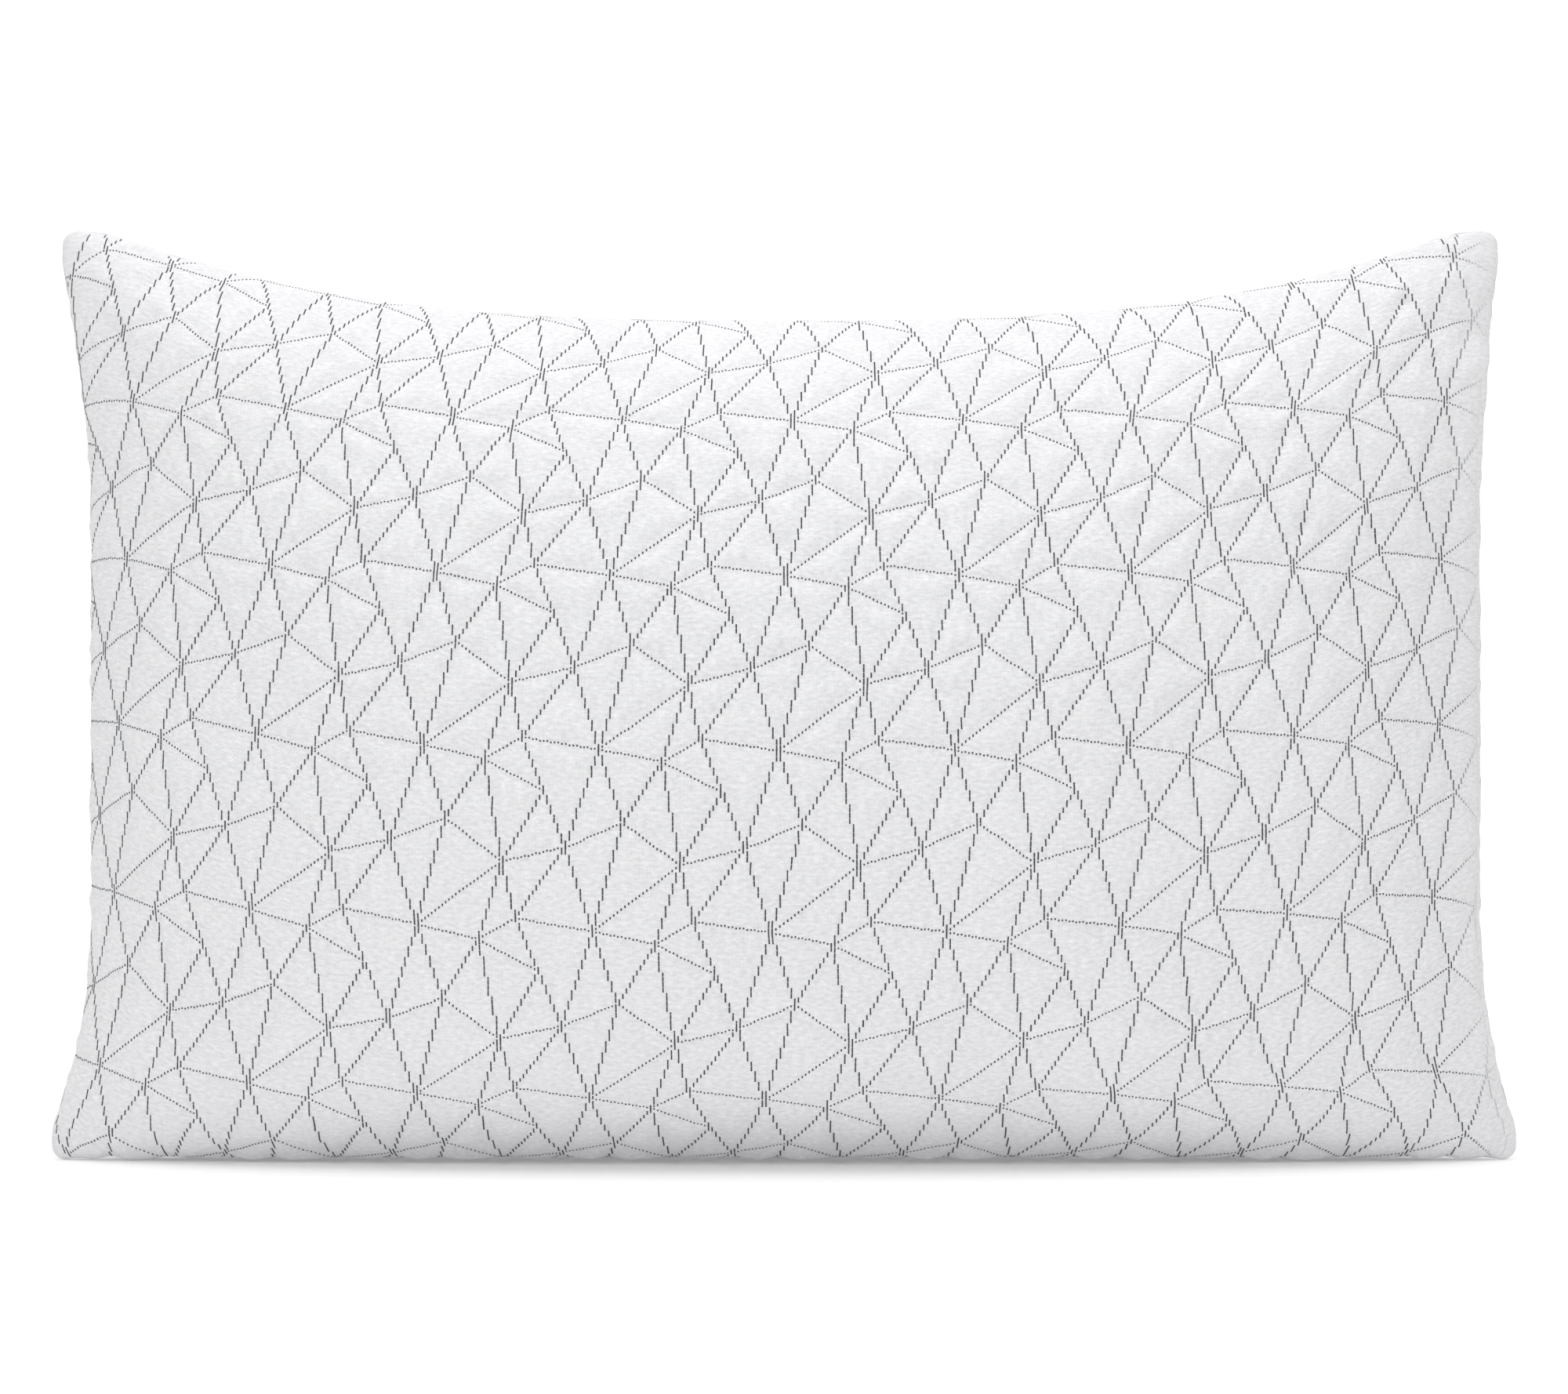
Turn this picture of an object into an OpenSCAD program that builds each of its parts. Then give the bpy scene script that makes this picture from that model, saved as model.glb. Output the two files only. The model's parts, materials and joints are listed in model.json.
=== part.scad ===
// Adjustable bed pillow: a quilted knit cover, zipped down one short side, over a zipped inner case
// that holds loose foam. The pillow stands on one long edge. X runs along its length, Y through its
// thickness with the front towards -Y, and Z is up. The origin is on the floor under the middle.

/* [Pillow] */
// Length between the tips of the two lower corners
pillow_length = 755; // [720:1:800]
// Height from the floor to the tips of the upper corners
pillow_height = 478; // [460:1:510]
// Thickness through the belly
pillow_thickness = 208; // [190:2:230]
// Height of the belly, where the pillow is thickest, above the floor
belly_height = 165; // [150:5:190]
// Dip of the top edge between its two corners
top_dip = 46; // [30:1:60]
// How far each lower corner reaches out past the short side's middle
lower_flare = 20.5; // [12:0.5:26]
// How far each upper corner reaches out past the short side's middle
upper_flare = 13; // [6:0.5:20]
// How much further the upper corner at -X reaches out, and the one at +X stays in
upper_lean = 2; // [0:0.5:4]
// How deep the belly would reach below the floor if nothing pressed it flat
floor_press = 4; // [3:0.5:10]

/* [Fabric] */
// Thickness of the quilted cover fabric
cover_cloth = 4; // [3:0.5:4]
// Thickness of the inner case's fabric
liner_cloth = 1.6; // [1:0.2:1.6]
// Gap between the front and the back panel along their seam
seam_gap = 0.3; // [0.2:0.1:0.5]
// Width of the stitched seam allowance inside the cover
cover_seam_width = 6; // [4:0.5:6]
// Width of the stitched seam allowance inside the inner case
liner_seam_width = 4; // [3:0.5:4]
// Thickness of a seam allowance at its raw edge
seam_thick = 1.6; // [1:0.1:2]

/* [Zips] */
// Length of the cover's zip
cover_zip_length = 300; // [240:10:310]
// Length of the inner case's zip
liner_zip_length = 260; // [200:10:280]
// Length of a slider
slider_length = 11; // [10:0.5:13]
// Length of the pull tab from its crossbar to its tip
pull_length = 22; // [16:1:26]
// Distance between neighbouring teeth on one tape
tooth_pitch = 3.2; // [3:0.1:4]

/* [Care label] */
// Width of the label along the seam
label_width = 40; // [30:1:50]
// How far the label reaches in from the seam
label_reach = 52; // [40:1:60]

/* [Hidden] */
$fn = 32;

knit_white = [0.95, 0.95, 0.96];
cloth_white = [0.90, 0.91, 0.92];
thread_white = [0.86, 0.86, 0.84];
tape_white = [0.88, 0.87, 0.83];
coil_white = [0.80, 0.79, 0.76];
label_white = [0.97, 0.97, 0.95];
nickel = [0.70, 0.70, 0.72];
foam_blue = [0.78, 0.85, 0.90];

// The way the outline and the belly curve
flare_start = 0.44;     // share of the half height over which a short side stays straight
lower_power = 2.2;      // a higher power keeps the flare closer to the corners
upper_power = 1.3;
dip_power = 2.9;
ear_start = 0.94;       // share of the half length and height past which the edges run straight
ear_soft = 0.04;
press_power = 6;
belly_power = 2.5;      // a higher power keeps the pillow thick for longer towards its ends
belly_round = 0.6;
shoulder_round = 1.12;  // a higher power slopes the pillow more towards its top edge
corner_power = 64;      // a higher power rounds a smaller part of each corner

// How finely the soft layers are divided, along the length and the height. They all share one
// division, so that the flat facets of a layer stay clear of those of the next
layer_steps = [34, 24];
label_steps = [6, 6];
seam_steps = 30;

// Insets of the layers from the outer surface, along the length, the thickness and the height
layer_gap = 0.3;
cover_inner = [cover_cloth, cover_cloth, cover_cloth];
cover_seam_out = cover_inner + layer_gap * [1, 1, 1];
cover_seam_in = cover_seam_out + cover_seam_width * [1, 1, 1];
zip_room = 7;           // room at the short sides for the back of the cover's zip
edge_room = 3.6;        // room along the sloping top edge for the layers' raw edges
liner_outer = [cover_seam_in.x + zip_room, cover_cloth + 0.6, cover_seam_in.z + edge_room];
liner_inner = liner_outer + liner_cloth * [1, 1, 1];
liner_seam_out = liner_inner + layer_gap * [1, 1, 1];
liner_seam_in = liner_seam_out + liner_seam_width * [1, 1, 1];
fill_outer = [liner_seam_in.x + 6, liner_inner.y + 0.5, liner_seam_in.z + edge_room];
label_lift = 0.9;
label_cloth = 0.6;
label_start = -0.99;    // where the label leaves the seam, as a share of the half length
label_middle = -0.42;   // the height of its middle, from -1 at the floor to 0 at the belly

// The slit that each zip fills, in the short side at +X
cover_slit = 11;        // half its width
liner_slit = 9;
slit_room = 28;         // length of open slit below the zip, where the pull tab hangs
slit_above = 12;
slit_fade = 26;         // length over which the slit closes to a seam
slit_power = 10;        // a higher power keeps the slit closer to the end of the pillow

side_middle = pillow_length / 2 - lower_flare;
zip_centre = pillow_height / 2;
cover_zip_depth = cover_cloth + 2.6;
liner_zip_depth = liner_inner.x + 4.4;
cover_zip_x = side_middle - cover_zip_depth;
liner_zip_x = side_middle - liner_zip_depth;

// Zip parts
tape_thick = 0.8;
tape_edge = 2.8;        // distance from the middle of the zip to a tape's inner edge
tape_reach = 15;        // distance from the middle of the zip to a tape's outer edge
tape_below = slit_room - 2;
tape_above = slit_above - 2;
tooth_depth = 2.4;
tooth_height = 1.3;
tooth_root = tape_edge - 0.1;
tooth_head = 0.7;       // how far a tooth crosses the middle
stop_height = 4;
stop_depth = 2.8;
stop_grip = 2.2;
clearance = 0.3;
slider_width = 9.6;
plate_thick = 0.9;
plate_gap = 3.2;
flange_width = 0.8;
flange_slot = 1.4;
neck_width = 2.4;
neck_height = 3;
neck_start = 0.6;
plate_corner = 1.6;
bail_width = 1.6;
bail_bar = 0.8;
bail_span = 3.6;        // clear length under the bail
bail_rise = 2;          // clear height under the bail
pull_thick = 1;
pull_arm = 1.1;
pull_width = 6.8;
pull_eye = 4.6;         // from the crossbar to the end of the eye
pull_hole = 1.4;

clamp_slot = tape_thick + 0.2;
plate_face = plate_gap / 2 + plate_thick;
flange_rise = plate_gap / 2 - flange_slot / 2 + 0.1;
bail_centre = slider_length / 2;
pivot_x = plate_face + bail_rise / 2;

// The outline of the pillow, seen from the front

// x up to 1, then 1, with a soft bend between them
function levelled(x) =
    x < 1 - ear_soft ? x : x > 1 + ear_soft ? 1 : x - pow(x - 1 + ear_soft, 2) / (4 * ear_soft);

// Half the pillow's length, v from -1 at the floor to 1 at the top, on the side that u points to
function half_length(u, v) =
    let (rise = levelled(max(0, (abs(v) - flare_start) / (ear_start - flare_start))))
    side_middle + (v < 0 ? lower_flare * pow(rise, lower_power)
                         : (upper_flare - upper_lean * sign(u)) * pow(rise, upper_power));

function top_edge(u) = pillow_height - top_dip * (1 - pow(levelled(abs(u) / ear_start), dip_power));

// 1 beside the zip, fading to 0 past its ends
function slit_share(z, low, high) =
    let (below = (z - (low - slit_room - slit_fade)) / slit_fade,
         above = ((high + slit_above + slit_fade) - z) / slit_fade,
         share = max(0, min(1, min(below, above))))
    share * share * (3 - 2 * share);

// A slit is [half width, lower end, upper end]
no_slit = [seam_gap / 2, 0, 1];
cover_opening = [cover_slit, zip_centre - cover_zip_length / 2, zip_centre + cover_zip_length / 2];
liner_opening = [liner_slit, zip_centre - liner_zip_length / 2, zip_centre + liner_zip_length / 2];

// One point of the back half of a soft layer. u and v run from -1 to 1 along the length and the
// height, and inset is how far the layer lies inside the pillow's outer surface.
function layer_point(inset, slit, u, v) =
    let (press = floor_press * (1 - pow(abs(u), press_power)),
         tip = pow(1 + pow(abs(u * v), corner_power), -1 / corner_power),
         climb = sin(90 * v) * tip,
         reach = v < 0 ? belly_height - inset.z + press : top_edge(u) - inset.z - belly_height,
         z = max(inset.z, belly_height + climb * reach),
         x = u * tip * (half_length(u, 2 * z / top_edge(u) - 1) - inset.x),
         end = pow(max(0, u), slit_power) * slit_share(z, slit[1], slit[2]),
         edge = seam_gap / 2 + (slit[0] - seam_gap / 2) * end,
         rounded = pow(max(0, cos(90 * v)), v < 0 ? 1 : shoulder_round),
         puff = pow(1 - pow(abs(u), belly_power), belly_round) * rounded,
         y = edge + (pillow_thickness / 2 - inset.y - edge) * puff)
    [x, y, z];

function layer_grid(inset, slit, us, vs) =
    [for (v = vs) for (u = us) layer_point(inset, slit, u, v)];

function mirrored(points) = [for (p = points) [p.x, -p.y, p.z]];

// Divisions from -1 to 1 that lie closer together towards the ends
function eased(steps) = [for (i = [0:steps]) sin(90 * (2 * i / steps - 1))];
function even(steps, from, to) = [for (i = [0:steps]) from + (to - from) * i / steps];

// Closed solid between two grids of the same size: outside lies further from the middle plane
module between(outside, inside, columns, rows) {
    count = columns * rows;
    last = columns - 1;
    top = rows - 1;
    skin = [for (r = [0:top - 1]) for (c = [0:last - 1])
        let (a = r * columns + c, b = a + 1, d = a + columns, e = d + 1)
        for (f = [[a, b, e], [a, e, d]]) f];
    rim = concat(
        [for (c = [0:last - 1]) [c, c + 1]],
        [for (r = [0:top - 1]) [r * columns + last, (r + 1) * columns + last]],
        [for (c = [0:last - 1]) [top * columns + c + 1, top * columns + c]],
        [for (r = [0:top - 1]) [(r + 1) * columns, r * columns]]);
    polyhedron(
        points = concat(outside, inside),
        faces = concat(
            skin,
            [for (f = skin) [f[2] + count, f[1] + count, f[0] + count]],
            [for (e = rim) for (f = [[e[1], e[0], e[0] + count], [e[1], e[0] + count, e[1] + count]]) f]),
        convexity = 6);
}

// One fabric panel of the back half
module back_panel(outer, inner, slit) {
    us = eased(layer_steps.x);
    vs = even(layer_steps.y, -1, 1);
    between(layer_grid(outer, slit, us, vs), layer_grid(inner, slit, us, vs), len(us), len(vs));
}

// Seam allowance along the four edges, left open beside the zip: pinched at the seam and full at the
// raw edge
module seam_allowance(seam_inset, raw_inset, slit) {
    lower = slit[1] - slit_room - slit_fade;
    upper = slit[2] + slit_above + slit_fade;
    lower_v = asin((lower - belly_height) / belly_height) / 90;
    upper_v = asin((upper - belly_height) / (pillow_height - belly_height)) / 90;
    around = concat(
        [for (v = even(4, lower_v, -0.9)) [1, v]],
        [for (u = eased(seam_steps)) [-u, -1]],
        [for (v = even(seam_steps, -0.95, 0.95)) [-1, v]],
        [for (u = eased(seam_steps)) [u, 1]],
        [for (v = even(4, 0.9, upper_v)) [1, v]]);
    pinch = seam_gap / 3;
    rings = [for (place = around)
        let (seam = layer_point(seam_inset, no_slit, place[0], place[1]),
             raw = layer_point(raw_inset, no_slit, place[0], place[1]))
        for (p = [[seam.x, pinch, seam.z], [raw.x, seam_thick / 2, raw.z],
                  [raw.x, -seam_thick / 2, raw.z], [seam.x, -pinch, seam.z]]) p];
    end = 4 * (len(around) - 1);
    polyhedron(
        points = rings,
        faces = concat(
            [[2, 1, 0], [3, 2, 0], [end, end + 1, end + 2], [end, end + 2, end + 3]],
            [for (i = [0:len(around) - 2]) for (k = [0:3])
                let (a = 4 * i + k, b = 4 * i + (k + 1) % 4)
                for (f = [[b + 4, a + 4, a], [b, b + 4, a]]) f]),
        convexity = 6);
}

// Zip parts, drawn about the zip's own middle line with +X outwards. side is -1 at the front and 1
// at the back, and span is [lower end, upper end]

module on_zip(x) translate([x, 0, 0]) children();

module zip_tape(side, span) {
    width = tape_reach - tape_edge;
    translate([-tape_thick / 2, side > 0 ? tape_edge : -tape_reach, span[0] - tape_below])
        cube([tape_thick, width, span[1] - span[0] + tape_below + tape_above]);
}

// Teeth of one tape, which mesh with those of the other tape half a pitch away
module zip_teeth(side, span) {
    start = span[0] + neck_start + neck_height + clearance + (side > 0 ? tooth_pitch / 2 : 0);
    count = floor((span[1] - clearance - start) / tooth_pitch);
    for (i = [0:count - 1]) translate([0, 0, start + i * tooth_pitch]) {
        translate([-tooth_depth / 2, side > 0 ? -tooth_head : -tooth_root, 0])
            cube([tooth_depth, tooth_root + tooth_head, tooth_height]);
        translate([-tooth_depth / 2, -side * tooth_head, tooth_height / 2])
            rotate([0, 90, 0]) cylinder(h = tooth_depth, d = tooth_height);
    }
}

// A clamp round the inner edge of one tape
module tape_clamp(side, z) {
    difference() {
        translate([-stop_depth / 2, side > 0 ? tape_edge - 1 : -tape_edge - stop_grip + 1, z])
            cube([stop_depth, stop_grip, stop_height]);
        translate([-clamp_slot / 2, side > 0 ? tape_edge - 0.1 : -tape_edge - stop_grip - 0.1, z - 1])
            cube([clamp_slot, stop_grip + 0.2, stop_height + 2]);
    }
}

module zip_top_stops_at(span) {
    for (side = [-1, 1]) tape_clamp(side, span[0] - clearance - stop_height);
}

module zip_bottom_stop_at(span) {
    half = tape_edge + stop_grip;
    difference() {
        translate([-stop_depth / 2, -half, span[1]]) cube([stop_depth, 2 * half, stop_height]);
        for (side = [0, 1]) mirror([0, side, 0])
            translate([-clamp_slot / 2, tape_edge - 0.1, span[1] - 1])
                cube([clamp_slot, stop_grip + 1, stop_height + 2]);
    }
}

module rounded_plate(width, height, corner, thick) {
    rotate([90, 0, 90]) linear_extrude(thick) {
        translate([-width / 2, corner]) square([width, height - 2 * corner]);
        translate([corner - width / 2, 0]) square([width - 2 * corner, height]);
        for (y = [corner - width / 2, width / 2 - corner]) for (z = [corner, height - corner])
            translate([y, z]) circle(corner);
    }
}

// Slider with two plates, the flanges that hold the tapes and the neck that parts the teeth
module slider_at(span) {
    translate([0, 0, span[0]]) {
        for (x = [plate_gap / 2, -plate_face]) translate([x, 0, 0])
            rounded_plate(slider_width, slider_length, plate_corner, plate_thick);
        translate([-plate_gap / 2 - 0.1, -neck_width / 2, neck_start])
            cube([plate_gap + 0.2, neck_width, neck_height]);
        for (front = [0, 1]) mirror([front, 0, 0]) for (side = [0, 1]) mirror([0, side, 0])
            translate([flange_slot / 2, slider_width / 2 - flange_width, plate_corner])
                cube([flange_rise, flange_width, slider_length - 2 * plate_corner]);
    }
}

// The arch on the front plate that the pull tab's crossbar turns under
module bail_at(span) {
    foot = bail_centre - bail_span / 2 - bail_bar;
    translate([0, -bail_width / 2, span[0] + foot]) {
        for (z = [0, bail_span + bail_bar])
            translate([plate_face - 0.1, 0, z]) cube([bail_rise + 0.2, bail_width, bail_bar]);
        translate([plate_face + bail_rise, 0, 0]) cube([bail_bar, bail_width, bail_span + 2 * bail_bar]);
    }
}

// Pull tab hanging from its crossbar
module pull_at(span) {
    arm_out = bail_width / 2 + 0.35 + pull_arm;
    translate([pivot_x, 0, span[0] + bail_centre]) {
        rotate([90, 0, 0]) cylinder(h = 2 * arm_out, d = pull_thick, center = true);
        for (side = [0, 1]) mirror([0, side, 0])
            translate([-pull_thick / 2, arm_out - pull_arm, -pull_eye - 0.1])
                cube([pull_thick, pull_arm, pull_eye + 0.1]);
        difference() {
            translate([-pull_thick / 2, 0, -pull_length])
                rounded_plate(pull_width, pull_length - pull_eye, plate_corner, pull_thick);
            translate([0, 0, -pull_length + 2 * pull_hole])
                rotate([0, 90, 0]) cylinder(h = pull_thick + 1, r = pull_hole, center = true);
        }
    }
}

// The sub-parts

cover_zip = [cover_opening[1], cover_opening[2]];
liner_zip = [liner_opening[1], liner_opening[2]];

module cover_panel() back_panel([0, 0, 0], cover_inner, cover_opening);
module cover_back() color(knit_white) cover_panel();
module cover_front() color(knit_white) mirror([0, 1, 0]) cover_panel();
module cover_seam() color(thread_white) seam_allowance(cover_seam_out, cover_seam_in, cover_opening);

// A blank label caught in the seam of the short side at -X and lying on the back panel
module care_label() {
    us = even(label_steps.x, label_start, label_start + label_reach / side_middle);
    rise = PI / 2 * belly_height * cos(90 * label_middle);  // how fast the height grows with v there
    spread = label_width / 2 / rise;
    vs = even(label_steps.y, label_middle - spread, label_middle + spread);
    color(label_white)
        between(
            layer_grid(-(label_lift + label_cloth) * [1, 1, 1], no_slit, us, vs),
            layer_grid(-label_lift * [1, 1, 1], no_slit, us, vs),
            len(us), len(vs));
}

module zip_tape_front() color(tape_white) on_zip(cover_zip_x) zip_tape(-1, cover_zip);
module zip_tape_back() color(tape_white) on_zip(cover_zip_x) zip_tape(1, cover_zip);
module zip_teeth_front() color(coil_white) on_zip(cover_zip_x) zip_teeth(-1, cover_zip);
module zip_teeth_back() color(coil_white) on_zip(cover_zip_x) zip_teeth(1, cover_zip);
module zip_top_stops() color(nickel) on_zip(cover_zip_x) zip_top_stops_at(cover_zip);
module zip_bottom_stop() color(nickel) on_zip(cover_zip_x) zip_bottom_stop_at(cover_zip);
module zip_slider() color(nickel) on_zip(cover_zip_x) { slider_at(cover_zip); bail_at(cover_zip); }
module zip_pull() color(nickel) on_zip(cover_zip_x) pull_at(cover_zip);

module liner_panel() back_panel(liner_outer, liner_inner, liner_opening);
module liner_back() color(cloth_white) liner_panel();
module liner_front() color(cloth_white) mirror([0, 1, 0]) liner_panel();
module liner_seam() color(thread_white) seam_allowance(liner_seam_out, liner_seam_in, liner_opening);
module liner_zip_tape_front() color(tape_white) on_zip(liner_zip_x) zip_tape(-1, liner_zip);
module liner_zip_tape_back() color(tape_white) on_zip(liner_zip_x) zip_tape(1, liner_zip);
module liner_zip_teeth_front() color(coil_white) on_zip(liner_zip_x) zip_teeth(-1, liner_zip);
module liner_zip_teeth_back() color(coil_white) on_zip(liner_zip_x) zip_teeth(1, liner_zip);
module liner_zip_top_stops() color(nickel) on_zip(liner_zip_x) zip_top_stops_at(liner_zip);
module liner_zip_bottom_stop() color(nickel) on_zip(liner_zip_x) zip_bottom_stop_at(liner_zip);
// The inner case's slider has no pull tab, so a child can't open it
module liner_zip_slider() color(nickel) on_zip(liner_zip_x) slider_at(liner_zip);

// The loose foam, as the one mass that it packs into
module foam_fill() {
    us = eased(layer_steps.x);
    vs = even(layer_steps.y, -1, 1);
    back = layer_grid(fill_outer, no_slit, us, vs);
    color(foam_blue) between(back, mirrored(back), len(us), len(vs));
}

cover_front();
cover_back();
cover_seam();
care_label();
zip_tape_front();
zip_tape_back();
zip_teeth_front();
zip_teeth_back();
zip_top_stops();
zip_bottom_stop();
zip_slider();
zip_pull();
liner_front();
liner_back();
liner_seam();
liner_zip_tape_front();
liner_zip_tape_back();
liner_zip_teeth_front();
liner_zip_teeth_back();
liner_zip_top_stops();
liner_zip_bottom_stop();
liner_zip_slider();
foam_fill();
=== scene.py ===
# Looks of a bed pillow that stands on one long edge: a quilted knit cover with a grey line pattern,
# zipped down one short side, over a zipped inner case of loose foam. Metres, in the CAD's frame.
import json

import bpy
import numpy as np
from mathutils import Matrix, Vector

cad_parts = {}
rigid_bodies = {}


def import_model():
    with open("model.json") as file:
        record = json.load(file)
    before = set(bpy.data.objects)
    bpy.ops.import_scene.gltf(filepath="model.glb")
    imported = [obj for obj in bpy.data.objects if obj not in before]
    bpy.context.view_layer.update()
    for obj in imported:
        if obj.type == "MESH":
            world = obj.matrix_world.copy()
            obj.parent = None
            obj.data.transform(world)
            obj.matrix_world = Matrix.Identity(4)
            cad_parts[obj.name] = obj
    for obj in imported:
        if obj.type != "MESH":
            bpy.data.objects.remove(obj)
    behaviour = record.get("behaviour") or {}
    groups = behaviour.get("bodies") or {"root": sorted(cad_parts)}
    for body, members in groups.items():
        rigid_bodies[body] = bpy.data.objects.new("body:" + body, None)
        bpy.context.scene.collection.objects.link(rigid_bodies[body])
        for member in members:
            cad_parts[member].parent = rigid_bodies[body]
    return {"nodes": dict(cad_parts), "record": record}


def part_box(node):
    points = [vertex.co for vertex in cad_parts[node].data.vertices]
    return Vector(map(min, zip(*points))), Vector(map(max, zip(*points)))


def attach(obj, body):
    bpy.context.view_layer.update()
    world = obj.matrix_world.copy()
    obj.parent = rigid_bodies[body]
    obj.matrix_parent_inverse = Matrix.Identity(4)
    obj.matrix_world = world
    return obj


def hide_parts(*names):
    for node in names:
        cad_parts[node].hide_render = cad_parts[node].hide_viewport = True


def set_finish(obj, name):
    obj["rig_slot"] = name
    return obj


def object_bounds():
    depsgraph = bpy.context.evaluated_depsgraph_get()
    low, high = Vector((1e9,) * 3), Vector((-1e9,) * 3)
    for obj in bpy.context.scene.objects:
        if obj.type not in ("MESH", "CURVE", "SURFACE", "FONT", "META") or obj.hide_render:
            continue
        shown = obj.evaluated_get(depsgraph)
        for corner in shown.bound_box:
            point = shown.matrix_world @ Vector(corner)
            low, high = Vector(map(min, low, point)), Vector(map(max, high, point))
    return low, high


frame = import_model()
cad_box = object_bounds()
MM = 0.001
rng = np.random.default_rng(11)

# ---- The pillow's form, as in the CAD ----

LENGTH = 755 * MM
HEIGHT = 478 * MM
THICKNESS = 208 * MM
BELLY_HEIGHT = 165 * MM
TOP_DIP = 46 * MM
LOWER_FLARE = 20.5 * MM
UPPER_FLARE = 13 * MM
UPPER_LEAN = 2 * MM
FLOOR_PRESS = 4 * MM
SEAM_GAP = 0.3 * MM
FLARE_START = 0.44
LOWER_POWER = 2.2
UPPER_POWER = 1.3
DIP_POWER = 2.9
EAR_START = 0.94
EAR_SOFT = 0.04
PRESS_POWER = 6
BELLY_POWER = 2.5
BELLY_ROUND = 0.6
SHOULDER_ROUND = 1.12
CORNER_RADIUS = 7 * MM
SLIT_ROOM = 28 * MM
SLIT_ABOVE = 12 * MM
SLIT_FADE = 26 * MM
SLIT_POWER = 10
SIDE_MIDDLE = LENGTH / 2 - LOWER_FLARE

# A slit is (half width, lower end, upper end), and an inset is along the length, depth and height
COVER_SLIT = (11 * MM, 89 * MM, 389 * MM)
LINER_SLIT = (9 * MM, 109 * MM, 369 * MM)
NO_SLIT = (SEAM_GAP / 2, 0, 1)
COVER_OUTER = np.array((0, 0, 0))
COVER_INNER = np.array((4, 5, 5)) * MM
LINER_OUTER = np.array((17.3, 5.8, 14.1)) * MM
LINER_INNER = np.array((18.9, 7.2, 15.7)) * MM
FILL_OUTER = np.array((29.2, 7.7, 23.6)) * MM
COVER_SEAM = (np.full(3, 4.3) * MM, np.full(3, 10.3) * MM)
LINER_SEAM = (np.array((19.2, 6.5, 15.8)) * MM, np.array((23.2, 10.5, 19.8)) * MM)
SEAM_THICK = 1.6 * MM

# The panels as they were cut
CUT_LENGTH = 762 * MM
CUT_HEIGHT = 508 * MM


def slit_share(z, low, high):
    """1 beside a zip, fading to 0 past its ends."""
    below = (z - (low - SLIT_ROOM - SLIT_FADE)) / SLIT_FADE
    above = ((high + SLIT_ABOVE + SLIT_FADE) - z) / SLIT_FADE
    share = np.clip(np.minimum(below, above), 0, 1)
    return share * share * (3 - 2 * share)


def levelled(x):
    """x up to 1, then 1, with a soft bend between them."""
    bend = x - (x - 1 + EAR_SOFT) ** 2 / (4 * EAR_SOFT)
    return np.where(x < 1 - EAR_SOFT, x, np.where(x > 1 + EAR_SOFT, 1, bend))


def drawn_in(near, other):
    """How far a round corner draws a side in. near and other go from 0 to 1 at the corner, one
    across the side and one along it."""
    arc = CORNER_RADIUS * (1 - np.cos(np.pi / 4 * near))
    return arc * (other - np.sin(np.pi / 4 * other)) / (1 - np.sin(np.pi / 4))


def form(inset, slit, u, v):
    """Points of the back half of a soft layer, u and v from -1 to 1 along the length and height."""
    u, v = np.broadcast_arrays(u, v)
    reach_u = np.abs(u)
    top = HEIGHT - TOP_DIP * (1 - levelled(reach_u / EAR_START) ** DIP_POWER)
    press = FLOOR_PRESS * (1 - reach_u**PRESS_POWER)
    reach = np.where(v < 0, BELLY_HEIGHT - inset[2] + press, top - inset[2] - BELLY_HEIGHT)
    z = np.maximum(inset[2], BELLY_HEIGHT + np.sin(np.pi / 2 * v) * reach)
    depth = np.minimum(z - inset[2], top - inset[2] - z)
    near_edge = np.clip(1 - depth / CORNER_RADIUS, 0, 1)
    near_end = np.clip(1 - (1 - reach_u) * SIDE_MIDDLE / CORNER_RADIUS, 0, 1)
    level = 2 * z / top - 1
    rise = levelled(np.maximum(0, np.abs(level) - FLARE_START) / (EAR_START - FLARE_START))
    upper = (UPPER_FLARE - UPPER_LEAN * np.sign(u)) * rise**UPPER_POWER
    flare = np.where(level < 0, LOWER_FLARE * rise**LOWER_POWER, upper)
    x = u * (SIDE_MIDDLE + flare - inset[0]) - np.sign(u) * drawn_in(near_edge, near_end)
    z = z - np.where(v < 0, -1, 1) * drawn_in(near_end, near_edge)
    share = np.maximum(0, u) ** SLIT_POWER * slit_share(z, slit[1], slit[2])
    edge = SEAM_GAP / 2 + (slit[0] - SEAM_GAP / 2) * share
    rounded = np.maximum(0, np.cos(np.pi / 2 * v)) ** np.where(v < 0, 1, SHOULDER_ROUND)
    puff = np.maximum(0, 1 - reach_u**BELLY_POWER) ** BELLY_ROUND * rounded
    y = edge + (THICKNESS / 2 - inset[1] - edge) * puff
    return np.stack((x, y, z), -1)


# ---- From the flat cut panel to the filled form ----


def bilinear(table, row, column):
    """table looked up at fractional rows and columns."""
    r = np.clip(row, 0, table.shape[0] - 1.000001)
    c = np.clip(column, 0, table.shape[1] - 1.000001)
    r0 = r.astype(int)
    c0 = c.astype(int)
    fr = r - r0
    fc = c - c0
    low = table[r0, c0] * (1 - fc) + table[r0, c0 + 1] * fc
    high = table[r0 + 1, c0] * (1 - fc) + table[r0 + 1, c0 + 1] * fc
    return low * (1 - fr) + high * fr


TABLE_STEPS = 240
even_steps = np.linspace(-1, 1, TABLE_STEPS + 1)
table_form = form(COVER_OUTER, COVER_SLIT, np.sin(np.pi / 2 * even_steps)[None], even_steps[:, None])


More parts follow.
